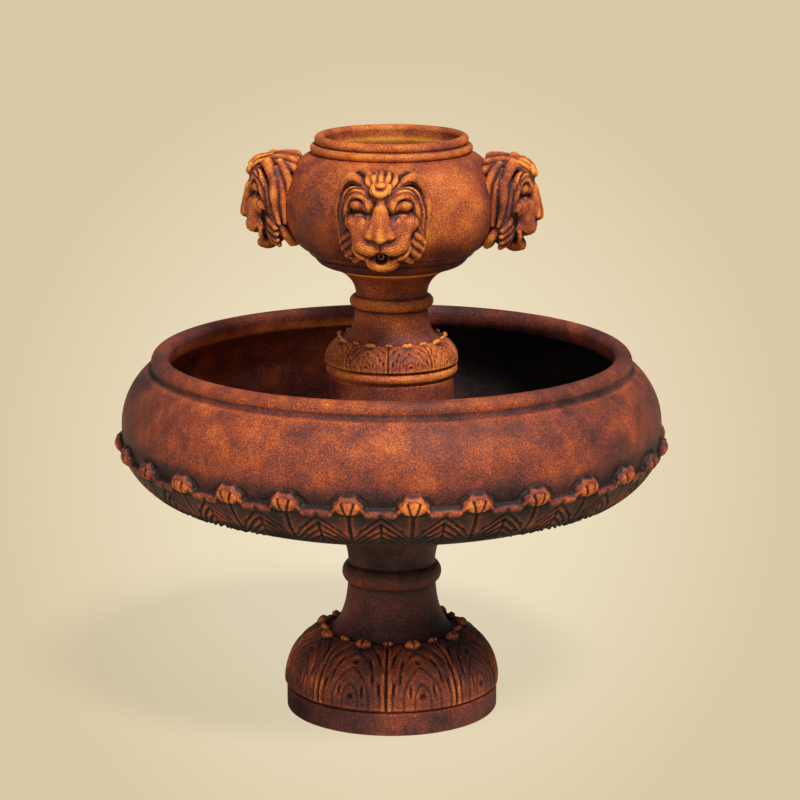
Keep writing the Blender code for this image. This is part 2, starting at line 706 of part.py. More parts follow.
def tube_shape(stations, outer, inner, sides):
    """Hollow tube along a list of points, with square ends."""
    shape = bmesh.new()
    walls = []
    for radius in (outer, inner):
        loops = []
        for index, point in enumerate(stations):
            ahead = stations[min(index + 1, len(stations) - 1)]
            behind = stations[max(index - 1, 0)]
            frame = Vector((0, 0, 1)).rotation_difference(ahead - behind).to_matrix()
            loop = []
            for angle in even_columns(sides):
                arm = frame @ Vector((radius * math.cos(angle), radius * math.sin(angle), 0))
                loop.append(shape.verts.new(point + arm))
            loops.append(loop)
        for lower, upper in zip(loops, loops[1:]):
            bridge(shape, lower, upper)
        walls.append(loops)
    bridge(shape, walls[0][0], walls[1][0])
    bridge(shape, walls[0][-1], walls[1][-1])
    return shape


def make_spout_tubes(copper):
    """A copper tube through the urn's wall and each head, ending inside the mouth."""
    wall = radius_at(urn_hollow(urn_outside()[1]), SPOUT_LEVEL)
    stations = [Vector((0, SPOUT_INSIDE - wall, 0)), Vector((0, -SPOUT_REACH, 0))]
    for index, side in enumerate(LION_SIDES):
        shape = tube_shape(stations, SPOUT_RADIUS, SPOUT_BORE, SEGMENTS_PIPE)
        place(f"spout_tube_{side}", shape, copper, (0, 0, URN_BASE + SPOUT_LEVEL), side_turn(index))


def head_point(across, up, out):
    """Place in a head's own frame, whose origin is on the urn's axis, from lion units."""
    urn_reach = URN_BODY_CENTRE + URN_BODY_DEPTH
    return Vector((across * LION_UNIT, -urn_reach - out * LION_UNIT, up * LION_UNIT))


def add_mass(shape, across, up, out, half_across, half_up, half_out):
    size = Matrix.Diagonal((half_across * LION_UNIT, half_out * LION_UNIT, half_up * LION_UNIT, 1))
    matrix = Matrix.Translation(head_point(across, up, out)) @ size
    bmesh.ops.create_icosphere(shape, subdivisions=2, radius=1, matrix=matrix)


def add_ridge(shape, path, first, last, steps=5):
    """Chain of balls along a bent path, tapering from one radius to the other."""
    start, middle, end = (Vector(point) for point in path)
    control = 2 * middle - (start + end) / 2
    balls = [start] + [Vector(point) for point in sweep_curve(start, control, end, steps)]
    for index, ball in enumerate(balls):
        radius = first + (last - first) * index / steps
        add_mass(shape, *ball, radius, radius, radius)


def mirrored(path):
    return [(-across, up, out) for across, up, out in path]


def head_masses():
    """The head's masses, ridges and locks, as one heap of balls."""
    shape = bmesh.new()
    for mass in MIDDLE_MASSES:
        add_mass(shape, *mass)
    for across, *rest in PAIRED_MASSES:
        add_mass(shape, across, *rest)
        add_mass(shape, -across, *rest)
    for path, first, last in RIDGES + LOCKS:
        add_ridge(shape, path, first, last)
        add_ridge(shape, mirrored(path), first, last)
    return shape


def head_hollows():
    """Eye sockets and the open mouth."""
    shape = bmesh.new()
    across, *rest = SOCKET
    for mass in (SOCKET, (-across, *rest), MOUTH):
        add_mass(shape, *mass)
    return shape


def urn_former():
    """The urn's filled outer shape, a seat gap larger, that hollows the back of a head."""
    outside, _ = urn_outside()
    grown = [(radius + SEAT_GAP, height) for radius, height in outside]
    return turned_solid([(0, grown[0][1])] + grown + [(0, grown[-1][1])], URN_COLUMNS)


def make_lion_heads(stone):
    """Carves one head in its own frame, hollows its back to the urn and sets it on four sides."""
    master = place("head_master", head_masses(), stone)
    remesh = master.modifiers.new("remesh", "REMESH")
    remesh.mode = "VOXEL"
    remesh.voxel_size = LION_VOXEL
    blend = master.modifiers.new("blend", "SMOOTH")
    blend.factor = 0.5
    blend.iterations = 2
    tools = [combine(master, "head_hollows", head_hollows())]
    faceting = master.modifiers.new("faceting", "DECIMATE")
    faceting.ratio = LION_FACES / faces_after(master)
    tools.append(combine(master, "urn_former", urn_former(), (0, 0, -LION_LEVEL)))
    bore = radial_bar(clear_bore(SPOUT_RADIUS, SEGMENTS_PIPE))
    tools.append(combine(master, "head_bore", bore, (0, 0, SPOUT_LEVEL - LION_LEVEL)))
    graph = bpy.context.evaluated_depsgraph_get()
    head = bpy.data.meshes.new_from_object(master.evaluated_get(graph))
    head.name = "lion_head"
    for item in [master] + tools:
        bpy.data.objects.remove(item, do_unlink=True)
    for index, side in enumerate(LION_SIDES):
        place_mesh(f"lion_head_{side}", head, (0, 0, URN_BASE + LION_LEVEL), side_turn(index))


def faces_after(item):
    """Triangles that the object's modifiers leave so far."""
    graph = bpy.context.evaluated_depsgraph_get()
    evaluated = item.evaluated_get(graph)
    mesh = evaluated.to_mesh()
    mesh.calc_loop_triangles()
    count = len(mesh.loop_triangles)
    evaluated.to_mesh_clear()
    return count


def along_x(shape, start):
    """Lays a piece that was turned round Z along the rotor's axis, from start towards +X."""
    turn = Matrix.Rotation(math.pi / 2, 3, "Y")
    bmesh.ops.rotate(shape, verts=shape.verts, cent=(0, 0, 0), matrix=turn)
    bmesh.ops.translate(shape, verts=shape.verts, vec=(start, 0, 0))
    return shape


def rounded_box(low, high, rounding):
    shape = bmesh.new()
    bmesh.ops.create_cube(shape, size=1)
    size = Vector(high) - Vector(low)
    middle = (Vector(high) + Vector(low)) / 2
    bmesh.ops.scale(shape, verts=shape.verts, vec=size)
    bmesh.ops.translate(shape, verts=shape.verts, vec=middle)
    bmesh.ops.bevel(shape, geom=shape.edges[:], offset=rounding, segments=1, affect="EDGES")
    return shape


def pump_shell(name, start, end, rounding, plastic):
    """Box-shaped shell of the pump, from start to end along the rotor's axis."""
    half, tall = PUMP_WIDTH / 2, PUMP_HEIGHT / 2
    box = rounded_box((start, -half, -tall), (end, half, tall), rounding)
    return place(name, box, plastic, ROTOR_PLACE)


def make_motor(plastic):
    """Motor body with its rotor chamber and the seat of the rear bush."""
    body = pump_shell("pump_body", PUMP_START, PUMP_END, PUMP_ROUNDING, plastic)
    chamber = (ROTOR_RADIUS + ROTOR_CLEARANCE, CHAMBER_END - PUMP_START)
    seat = (BUSH_RADIUS + SEAT_GAP, BUSH_END + SEAT_GAP - PUMP_START)
    bore = stepped_bar(-OVERLAP, [chamber, seat], SEGMENTS_SMALL)
    combine(body, "rotor_chamber", along_x(bore, PUMP_START), ROTOR_PLACE)


def make_cover(plastic):
    """Volute cover: impeller room, inlet with the front bush's spider, and the outlet port."""
    cover = pump_shell("pump_volute_cover", COVER_START, PUMP_START - SEAT_GAP, SHELL_ROUNDING, plastic)
    inlet = (VOLUTE_INLET, COVER_WALL)
    impeller_room = (VOLUTE_RADIUS, VOLUTE_LENGTH + OVERLAP)
    room = stepped_bar(-OVERLAP, [inlet, impeller_room], SEGMENTS_SMALL)
    combine(cover, "volute_room", along_x(room, COVER_START), ROTOR_PLACE)
    port = stepped_bar(VOLUTE_RADIUS / 2, [(BARB_RADIUS + SEAT_GAP, PUMP_HEIGHT)], SEGMENTS_PIPE)
    combine(cover, "outlet_port", port, (OUTLET_AT, *ROTOR_PLACE[1:]))
    ring = bored_bar(BUSH_RADIUS + SPIDER_RING, BUSH_RADIUS + SEAT_GAP, COVER_WALL)
    combine(cover, "spider_ring", along_x(ring, COVER_START), ROTOR_PLACE, operation="UNION")
    for index in range(SPIDER_ARMS):
        low = (COVER_START + COVER_WALL / 4, -OVERLAP, BUSH_RADIUS + OVERLAP)
        high = (COVER_START + 3 * COVER_WALL / 4, OVERLAP, VOLUTE_INLET + 2 * OVERLAP)
        arm = spun(rounded_box(low, high, FINE_ROUNDING / 2), index, SPIDER_ARMS)
        combine(cover, f"spider_arm_{index}", arm, ROTOR_PLACE, operation="UNION")


def make_strainer(plastic):
    """Strainer: a thin-walled cage with slots in its top and a hole for the dial's stem."""
    cage = pump_shell("pump_strainer", CAGE_START, COVER_START - SEAT_GAP, SHELL_ROUNDING, plastic)
    half, tall = PUMP_WIDTH / 2 - STRAINER_WALL, PUMP_HEIGHT / 2 - STRAINER_WALL
    hollow = rounded_box((CAGE_START + STRAINER_WALL, -half, -tall), (PUMP_START, half, tall), OVERLAP)
    combine(cage, "strainer_hollow", hollow, ROTOR_PLACE)
    pitch = (PUMP_WIDTH - 4 * STRAINER_WALL) / STRAINER_SLOTS
    start = CAGE_START + 1.5 * STRAINER_WALL
    for index in range(STRAINER_SLOTS):
        across = (index - (STRAINER_SLOTS - 1) / 2) * pitch
        low = (start, across - SLOT_WIDTH / 2, 0)
        high = (start + STRAINER_LENGTH - 3 * STRAINER_WALL, across + SLOT_WIDTH / 2, PUMP_HEIGHT)
        combine(cage, f"strainer_slot_{index}", rounded_box(low, high, FINE_ROUNDING), ROTOR_PLACE)
    reach = STRAINER_WALL + OVERLAP
    hole = stepped_bar(-DIAL_THICKNESS, [(DIAL_STEM_RADIUS + RUN_GAP, reach)], SEGMENTS_SMALL)
    combine(cage, "dial_hole", along_x(hole, CAGE_START), ROTOR_PLACE)


def make_shaft(ceramic):
    """Ceramic shaft with a bush at each end."""
    start = COVER_START + COVER_WALL - BUSH_LENGTH
    shaft = stepped_bar(SEAT_GAP, [(SHAFT_RADIUS, BUSH_END - start)], SEGMENTS_SHAFT)
    place("pump_shaft", along_x(shaft, start), ceramic, ROTOR_PLACE)
    rear = CHAMBER_END + SEAT_GAP / 2
    for name, bush_start in (("pump_bush_front", start), ("pump_bush_rear", rear)):
        bush = bored_bar(BUSH_RADIUS, clear_bore(SHAFT_RADIUS, SEGMENTS_PIPE), BUSH_LENGTH)
        place(name, along_x(bush, bush_start), ceramic, ROTOR_PLACE)


def make_feet_and_gland(soft_rubber):
    gland = bored_bar(GLAND_RADIUS, GLAND_BORE, GLAND_LENGTH)
    place("pump_cable_gland", along_x(gland, PUMP_END + SEAT_GAP), soft_rubber, ROTOR_PLACE)
    inset = 2 * PUMP_ROUNDING
    near, far = PUMP_BEHIND - PUMP_WIDTH / 2 + inset, PUMP_BEHIND + PUMP_WIDTH / 2 - inset
    corners = [(x, y) for x in (PUMP_START + inset, PUMP_END - inset) for y in (near, far)]
    pad = (PUMP_FOOT_RADIUS, PUMP_FOOT_HEIGHT / 2)
    waist = (PUMP_FOOT_WAIST, PUMP_FOOT_HEIGHT - SEAT_GAP)
    for index, (x, y) in enumerate(corners):
        foot = stepped_bar(0, [pad, waist], SEGMENTS_PIPE)
        place(f"pump_foot_{index + 1}", foot, soft_rubber, (x, y, RISER_BASE + SEAT_GAP))


def bored_bar(outer, inner, length):
    """Short round bar with a through bore, along Z from 0."""
    section = rings([(outer, 0), (outer, length), (inner, length), (inner, 0)])
    return turned_shape(section, even_columns(SEGMENTS_PIPE))


def spun(shape, index, count):
    """One of several copies of a shape that stand round the rotor's axis."""
    turn = Matrix.Rotation(2 * math.pi * index / count, 3, "X")
    bmesh.ops.rotate(shape, verts=shape.verts, cent=(0, 0, 0), matrix=turn)
    return shape


def make_dial(plastic):
    """Flow control dial: a disc outside the strainer with a grip rib and a stem through its wall."""
    start = CAGE_START - RUN_GAP - DIAL_THICKNESS
    stem_end = CAGE_START - start + STRAINER_WALL + DIAL_RIB
    steps = [(DIAL_RADIUS, DIAL_THICKNESS), (DIAL_STEM_RADIUS, stem_end)]
    shape = along_x(stepped_bar(0, steps, SEGMENTS_SMALL), start)
    dial = place("flow_control_dial", shape, plastic, ROTOR_PLACE)
    reach = DIAL_RADIUS - DIAL_RIB / 2
    low, high = (start - DIAL_RIB, -DIAL_RIB / 2, -reach), (start + OVERLAP, DIAL_RIB / 2, reach)
    combine(dial, "dial_rib", rounded_box(low, high, FINE_ROUNDING), ROTOR_PLACE, operation="UNION")


def make_rotor(plastic, magnet):
    """Impeller with straight blades, and the magnet that drives it, on one axis."""
    bore = SHAFT_RADIUS + RUN_GAP
    hub = bored_bar(IMPELLER_HUB, bore, IMPELLER_LENGTH - SEAT_GAP)
    impeller = place("pump_impeller", along_x(hub, IMPELLER_START), plastic, ROTOR_PLACE)
    for index in range(BLADES):
        low = (IMPELLER_START, -BLADE_THICKNESS / 2, IMPELLER_HUB - OVERLAP)
        high = (IMPELLER_START + IMPELLER_LENGTH - OVERLAP, BLADE_THICKNESS / 2, IMPELLER_RADIUS)
        blade = spun(rounded_box(low, high, FINE_ROUNDING / 2), index, BLADES)
        combine(impeller, f"blade_{index}", blade, ROTOR_PLACE, operation="UNION")
    drum = bored_bar(ROTOR_RADIUS, bore, ROTOR_LENGTH - SEAT_GAP)
    place("pump_rotor_magnet", along_x(drum, PUMP_START + SEAT_GAP), magnet, ROTOR_PLACE)


def barbs(start, end):
    """Outline of a hose barb from start to end along Z, each barb tapering away from its collar."""
    step = (end - start) / BARBS
    points = []
    for index in range(BARBS):
        ring = start + index * step
        points += [(BARB_RADIUS, ring), (BARB_RADIUS * BARB_TAPER, ring + step)]
    return points


def make_outlet(plastic):
    """Barbed outlet adapter that plugs into the volute cover's top port."""
    collar_top = BARB_TAIL + BARB_COLLAR_THICKNESS
    end = collar_top + BARB_LENGTH
    points = [(BARB_RADIUS, 0), (BARB_RADIUS, BARB_TAIL), (BARB_COLLAR, BARB_TAIL)]
    points += [(BARB_COLLAR, collar_top)] + barbs(collar_top, end) + [(BARB_BORE, end), (BARB_BORE, 0)]
    shape = turned_shape(rings(points), even_columns(SEGMENTS_PIPE))
    place("pump_outlet_adapter", shape, plastic, (OUTLET_AT, PUMP_BEHIND, OUTLET_TOP - BARB_TAIL))


def hose_route():
    """From the pump's barb over to the middle line at the riser's top, then up to the urn's barb."""
    start = Vector((OUTLET_AT, PUMP_BEHIND, OUTLET_TOP + BARB_COLLAR_THICKNESS + SEAT_GAP))
    end = Vector((0, 0, URN_BASE - NUT_THICKNESS - BARB_COLLAR_THICKNESS - 3 * SEAT_GAP))
    low = start + Vector((0, 0, BARB_LENGTH))
    high = Vector((0, 0, UPPER_BASE))
    lead = Vector((0, 0, (high.z - low.z) / 2))
    bend = geometry.interpolate_bezier(low, low + lead, high - lead, high, HOSE_BEND_POINTS)
    return [start] + bend + [end]


def make_hose(vinyl, steel):
    route = hose_route()
    place("supply_hose", tube_shape(route, HOSE_RADIUS, HOSE_BORE, SEGMENTS_PIPE), vinyl)
    inset = Vector((0, 0, BARB_LENGTH / 2))
    make_clamp("hose_clamp_lower", route[0] + inset, steel)
    make_clamp("hose_clamp_upper", route[-1] - inset, steel)


def make_clamp(name, spot, steel):
    """Worm-drive clamp: a band round the hose with a screw housing on one side."""
    inner = HOSE_RADIUS + 2 * SEAT_GAP
    outer = inner + CLAMP_BAND
    half = CLAMP_WIDTH / 2
    band = rings([(outer, -half), (outer, half), (inner, half), (inner, -half)])
    clamp = place(name, turned_shape(band, even_columns(SEGMENTS_SMALL)), steel, spot)
    low = (-CLAMP_HOUSING / 2, -outer - CLAMP_HOUSING_HEIGHT, -half + OVERLAP)
    high = (CLAMP_HOUSING / 2, -inner - CLAMP_BAND / 2, half - OVERLAP)
    combine(clamp, f"{name}_housing", rounded_box(low, high, FINE_ROUNDING), spot, operation="UNION")


def make_urn_fitting(brass, soft_rubber):
    """Bulkhead fitting through the urn's floor: flange above, nut and hose barb below."""
    flange_low = URN_FLOOR + WASHER_THICKNESS + 2 * SEAT_GAP
    barb_top = -NUT_THICKNESS - 2 * SEAT_GAP - BARB_COLLAR_THICKNESS
    points = [(BARB_BORE, barb_top - BARB_LENGTH)] + barbs(barb_top, barb_top - BARB_LENGTH)[::-1]
    points += [(FITTING_THREAD_RADIUS, barb_top), (FITTING_THREAD_RADIUS, flange_low)]
    points += [(FITTING_FLANGE_RADIUS, flange_low), (FITTING_FLANGE_RADIUS, flange_low + FITTING_FLANGE)]
    points += [(BARB_BORE, flange_low + FITTING_FLANGE)]
    shape = turned_shape(rings(points), even_columns(SEGMENTS_SMALL))
    place("urn_fitting", shape, brass, (0, 0, URN_BASE))

    under = (0, 0, URN_BASE - SEAT_GAP)
    nut = place("urn_fitting_nut", stepped_bar(-NUT_THICKNESS, [(NUT_RADIUS, 0)], 6), brass, under)
    thread = clear_bore(FITTING_THREAD_RADIUS, SEGMENTS_SMALL)
    tapped = stepped_bar(-2 * NUT_THICKNESS, [(thread, NUT_THICKNESS)], SEGMENTS_SMALL)
    combine(nut, "nut_thread", tapped, under)

    hole = clear_bore(FITTING_THREAD_RADIUS, SEGMENTS_PIPE)
    washer = bored_bar(FITTING_FLANGE_RADIUS + WASHER_MARGIN, hole, WASHER_THICKNESS)
    place("urn_fitting_washer", washer, soft_rubber, (0, 0, URN_BASE + URN_FLOOR + SEAT_GAP))


def make_stopper(soft_rubber):
    """Tapered rubber stopper in the basin's drain, bored for the pump's lead."""
    gap = 2 * SEAT_GAP
    taper = (DRAIN_SEAT_RADIUS - DRAIN_RADIUS) / DRAIN_SEAT_DEPTH
    top = DRAIN_SEAT_RADIUS - gap
    low = STOPPER_SHORT - DRAIN_SEAT_DEPTH
    outline = [(DRAIN_RADIUS + taper * STOPPER_SHORT - gap, low), (top, 0), (top, STOPPER_HEAD)]
    outline += [(STOPPER_BORE, STOPPER_HEAD), (STOPPER_BORE, low)]
    shape = turned_shape(rings(outline), even_columns(SEGMENTS_STOPPER))
    place("drain_stopper", shape, soft_rubber, (0, 0, BASIN_BASE + BASIN_FLOOR), BASIN_TURN)


def main():
    clear_scene()
    rust_stone = finish("rust_stone", (0.30, 0.10, 0.045), 0.75, 0.0)
    dark_stone = finish("dark_stone", (0.11, 0.045, 0.032), 0.8, 0.0)
    gold_stone = finish("gold_stone", (0.50, 0.18, 0.04), 0.7, 0.0)
    copper = finish("copper", (0.55, 0.27, 0.16), 0.35, 1.0)
    brass = finish("brass", (0.60, 0.45, 0.20), 0.35, 1.0)
    steel = finish("clamp_steel", (0.60, 0.60, 0.60), 0.3, 1.0)
    plastic = finish("pump_plastic", (0.02, 0.02, 0.022), 0.5, 0.0)
    soft_rubber = finish("soft_rubber", (0.03, 0.03, 0.03), 0.8, 0.0)
    vinyl = finish("vinyl_hose", (0.55, 0.60, 0.58), 0.25, 0.0)
    magnet = finish("rotor_magnet", (0.08, 0.08, 0.085), 0.45, 0.3)
    ceramic = finish("ceramic", (0.80, 0.78, 0.74), 0.25, 0.0)

    make_lower_pedestal(dark_stone)
    make_basin(rust_stone)
    make_riser(dark_stone)
    make_upper_pedestal(rust_stone)
    make_urn(rust_stone)
    make_lion_heads(gold_stone)
    make_spout_tubes(copper)
    make_motor(plastic)
    make_cover(plastic)
    make_strainer(plastic)
    make_rotor(plastic, magnet)
    make_shaft(ceramic)
    make_dial(plastic)
    make_feet_and_gland(soft_rubber)
    make_outlet(plastic)
    make_hose(vinyl, steel)
    make_urn_fitting(brass, soft_rubber)
    make_stopper(soft_rubber)


main()
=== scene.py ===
"""Lion head fountain: the castings, their carving and every finish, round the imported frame.

Metres, +Z up. The front lion faces -Y, and angles round the fountain run from -Y towards +X.
"""

import math

import bpy
import numpy as np
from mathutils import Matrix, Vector


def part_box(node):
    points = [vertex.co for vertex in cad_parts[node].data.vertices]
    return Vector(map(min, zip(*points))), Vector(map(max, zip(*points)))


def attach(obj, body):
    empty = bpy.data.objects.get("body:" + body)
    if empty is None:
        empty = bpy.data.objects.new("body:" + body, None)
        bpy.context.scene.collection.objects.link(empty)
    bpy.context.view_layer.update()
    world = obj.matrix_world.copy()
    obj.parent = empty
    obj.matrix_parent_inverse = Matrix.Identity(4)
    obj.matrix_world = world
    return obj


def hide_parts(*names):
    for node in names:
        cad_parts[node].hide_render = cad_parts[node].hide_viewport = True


MM = 0.001
FOUNTAIN = "fountain"

# Castings, as in the frame
LOWER_TURN = math.radians(1.2)
UPPER_TURN = math.radians(1.2)
BASIN_TURN = math.radians(8.63)
PEDESTAL_LEAVES = 9
BASIN_LEAVES = 28
BUD_RELIEF = 22.4
# Middle of the urn's painted highlight, round from the front
PAINTED_HIGHLIGHT_PLACE = math.radians(37.8)
# Middle of the urn's darker patch, round from the front
DARKER_PATCH_PLACE = math.radians(-40.1)

# Columns of one leaf, and of plain rings
BASIN_LEAF_COLUMNS = 48
PEDESTAL_LEAF_COLUMNS = 96
CARVED_STEP = 2.0 * MM
PLAIN_STEP = 5 * MM
PLAIN_LIFT = 0.3 * MM
PLAIN_SHADE = 0.35 * MM

LION_SIDES = ["front", "right", "back", "left"]
CLAY_STEP = 2.0 * MM


def smooth_step(low, high, value):
    share = np.clip((value - low) / (high - low), 0, 1)
    return share * share * (3 - 2 * share)


def dip(distance, width):
    """1 on a line and falling smoothly to 0 about a width away from it."""
    return np.exp(-((distance / width) ** 2))


def dome(distance):
    """Rounded cap: 1 at the middle, 0 at distance 1 and beyond."""
    return np.sqrt(np.clip(1 - distance**2, 0, 1))


def soften(values, times):
    """Blurs a grid that closes on itself both ways."""
    for _ in range(times):
        values = (np.roll(values, 1, 0) + 2 * values + np.roll(values, -1, 0)) / 4
        values = (np.roll(values, 1, 1) + 2 * values + np.roll(values, -1, 1)) / 4
    return values


class Outline:
    """Half section of a casting as (radius, height) points, up its outer side and down its bore."""

    def __init__(self, radius, height):
        self.points = [(radius, height)]
        self.along = [np.nan]
        self.stride = [4]

    def add(self, points, along=None, stride=4):
        self.points += [tuple(p) for p in points]
        self.along += list(along) if along is not None else [np.nan] * len(points)
        self.stride += [stride] * len(points)

    def line(self, radius, height, step=PLAIN_STEP):
        start = np.array(self.points[-1])
        end = np.array((radius, height))
        count = max(1, int(np.linalg.norm(end - start) / step))
        self.add([start + (end - start) * i / count for i in range(1, count + 1)])

    def curve(self, control, end, step=PLAIN_STEP):
        """Draws towards a control point and on to the end."""
        a, b, c = (np.array(p) for p in (self.points[-1], control, end))
        count = max(3, int((np.linalg.norm(b - a) + np.linalg.norm(c - b)) / step))
        shares = [i / count for i in range(1, count + 1)]
        self.add([a * (1 - t) ** 2 + b * 2 * t * (1 - t) + c * t * t for t in shares])

    def arc(self, centre, radii, start_deg, end_deg, carved=False, step=PLAIN_STEP):
        sweep = math.radians(abs(end_deg - start_deg))
        step = CARVED_STEP if carved else step
        count = max(6, int(sweep * max(radii) / step))
        shares = np.linspace(0, 1, count + 1)
        angles = np.radians(start_deg + (end_deg - start_deg) * shares)
        points = np.stack([centre[0] + radii[0] * np.cos(angles), centre[1] + radii[1] * np.sin(angles)], 1)
        self.add(points, shares if carved else None, 1 if carved else 4)

    def bulge(self, end, depth, step=PLAIN_STEP / 2):
        """Circular arc that swells to the right of its path."""
        first, last = np.array(self.points[-1]), np.array(end)
        chord = last - first
        half = np.linalg.norm(chord) / 2
        right = np.array((chord[1], -chord[0])) / (2 * half)
        radius = (half * half + depth * depth) / (2 * depth)
        centre = (first + last) / 2 + right * (depth - radius)
        sweep = 2 * math.atan2(half, radius - depth)
        start = math.atan2(*(first - centre)[::-1])
        count = max(6, int(sweep * radius / step))
        angles = start + sweep * np.arange(1, count + 1) / count
        self.add(np.stack([centre[0] + radius * np.cos(angles), centre[1] + radius * np.sin(angles)], 1))


def mesh_object(name, points, faces, attributes, smooth=True):
    """Object from numpy points and lists of faces, with one float attribute for each name."""
    mesh = bpy.data.meshes.new(name)
    mesh.vertices.add(len(points))
    mesh.vertices.foreach_set("co", points.astype(np.float32).ravel())
    corners = np.concatenate([block.ravel() for block in faces])
    sizes = np.concatenate([np.full(len(block), block.shape[1]) for block in faces])
    starts = np.concatenate([[0], np.cumsum(sizes)[:-1]])
    mesh.loops.add(len(corners))
    mesh.loops.foreach_set("vertex_index", corners.astype(np.int32))
    mesh.polygons.add(len(sizes))
    mesh.polygons.foreach_set("loop_start", starts.astype(np.int32))
    mesh.update(calc_edges=True)
    mesh.validate()
    for key, values in attributes.items():
        layer = mesh.attributes.new(key, "FLOAT", "POINT")
        layer.data.foreach_set("value", np.ascontiguousarray(values, np.float32).ravel())
    if smooth:
        mesh.shade_smooth()
    item = bpy.data.objects.new(name, mesh)
    bpy.context.scene.collection.objects.link(item)
    return item


def turned(name, outline, columns, relief=None, turn=0.0, tone=None):
    """Casting turned from a closed half section. Its carved rows are lifted by the relief."""
    points = np.array(outline.points)
    along = np.array(outline.along)
    stride = np.array(outline.stride)
    angles = 2 * np.pi * np.arange(columns) / columns
    tangent = np.roll(points, -1, 0) - np.roll(points, 1, 0)
    normal = np.stack([tangent[:, 1], -tangent[:, 0]], 1)
    normal /= np.maximum(np.linalg.norm(normal, axis=1, keepdims=True), 1e-9)
    lift = np.zeros((len(points), columns))
    carved = ~np.isnan(along)
    if relief:
        lift[carved] = relief(angles[None, :], along[carved][:, None], points[carved][:, :1])
    smooth = points
    for _ in range(6):
        smooth = (np.roll(smooth, 1, 0) + 2 * smooth + np.roll(smooth, -1, 0)) / 4
    # How proud each point stands: the relief above its own blur, plus the outline's curvature. The finish
    # reads it for wear and dirt, and paints shade into hollows and corners and highlight onto ridges from it.
    edge = np.sum((points - smooth) * normal, 1)[:, None]
    raised = 0.8 * (lift - soften(lift, 10))
    plain = np.abs(lift) < PLAIN_LIFT
    raised = np.where(plain, np.maximum(raised, -PLAIN_SHADE), raised) + 0.6 * edge
    radius = points[:, :1] + normal[:, :1] * lift
    height = points[:, 1:] + normal[:, 1:] * lift
    turned_angles = angles[None, :] + turn
    grid = np.stack([radius * np.sin(turned_angles), -radius * np.cos(turned_angles), height], 2)
    shade = tone(radius, height, lift, turned_angles) if tone else np.full(lift.shape, 0.5)
    index = np.full(lift.shape, -1)
    kept = (np.arange(columns)[None, :] % stride[:, None]) == 0
    index[kept] = np.arange(kept.sum())
    quads, thirds = [], []
    for row in range(len(points)):
        following = (row + 1) % len(points)
        below, above = index[row], index[following]
        small, large = sorted((stride[row], stride[following]))
        if small == large:
            low, high = below[below >= 0], above[above >= 0]
            quads.append(np.stack([low, np.roll(low, -1), np.roll(high, -1), high], 1))
            continue
        fine_below = stride[row] < stride[following]
        fine, coarse = (below, above) if fine_below else (above, below)
        fine, coarse = fine[fine >= 0], coarse[coarse >= 0]
        times = large // small
        fans = []
        for step in range(times):
            near = coarse if step < times // 2 else np.roll(coarse, -1)
            start = fine[step::times]
            end = np.roll(fine, -step - 1)[::times]
            fans.append((start, end, near))
        middle = fine[times // 2 :: times]
        fans.append((middle, np.roll(coarse, -1), coarse))
        for a, b, c in fans:
            thirds.append(np.stack([a, b, c] if fine_below else [b, a, c], 1))
    faces = [np.concatenate(quads)] + ([np.concatenate(thirds)] if thirds else [])
    return mesh_object(name, grid[kept], faces, {"raised": raised[kept] / MM, "tone": shade[kept]})


def grooved(phase):
    """0 along each whole number and 1 over most of the way between, like fingers side by side."""
    return np.abs(np.sin(math.pi * phase)) ** 0.55


def slit(x, y, place, lean_deg, length, width):
    """1 inside a drilled slit, falling to 0 round it."""
    lean = math.radians(lean_deg)
    down, off = y - place[1], x - place[0]
    run = down * math.cos(lean) - off * math.sin(lean)
    gap = down * math.sin(lean) + off * math.cos(lean)
    return dip(gap, width) * dip(run / length, 1) ** 2


# Place of each slit, as shares of the leaf's pitch and height, and its lean in degrees
PEDESTAL_SLITS = [
    ((0.165, 0.26), 0),
    ((0.30, 0.42), 8),
    ((0.25, 0.62), 22),
    ((0.40, 0.30), 2),
    ((0.36, 0.72), 20),
]


def pedestal_leaf(tall, depth):
    """Relief of one broad leaf: pointed ribs over a drilled eye, slits between them, and curled tips."""
    eye, second_eye = 0.19, 0.63

    def relief(angle, along, radius):
        pitch = 2 * math.pi * radius / PEDESTAL_LEAVES
        across = np.abs((angle * PEDESTAL_LEAVES / (2 * math.pi)) % 1.0 - 0.5)
        x, y = across * pitch, along * tall
        rise = np.maximum(along - eye, 0)
        ring = ((1.4 * across) ** 1.5 + rise**1.5) ** (1 / 1.5)
        phase = (ring - 0.15) / 0.215
        ribs = grooved(phase) + 0.25 * np.abs(np.cos(math.pi * phase))
        ribs = np.where(ring < 0.15, 1.0 - 0.5 * smooth_step(0.12, 0.15, ring), ribs)
        holes = dip(np.hypot(x, y - eye * tall), 0.036 * tall)
        holes = holes + dip(np.hypot(x, y - second_eye * tall), 0.034 * tall)
        for place, lean in PEDESTAL_SLITS:
            spot = (place[0] * pitch, place[1] * tall)
            holes = holes + slit(x, y, spot, lean, 0.085 * tall, 0.016 * tall)
        joint = 1.3 * dip(0.5 - across, 0.016) - 0.35 * dip(0.5 - across - 0.055, 0.03)
        leaf = 0.4 + 0.75 * ribs - 1.5 * np.minimum(holes, 1) - joint
        leaf = leaf * (1 - smooth_step(0.90, 0.97, along))
        curl = 2.6 * dome(np.hypot(across / 0.17, (along - 0.885) / 0.075))
        curl = curl * (1 - 0.35 * dip(across, 0.03))
        rear = 2.0 * dome(np.hypot((0.5 - across) / 0.12, (along - 0.94) / 0.055))
        return depth * smooth_step(0.0, 0.05, along) * (leaf + curl + rear)

    return relief


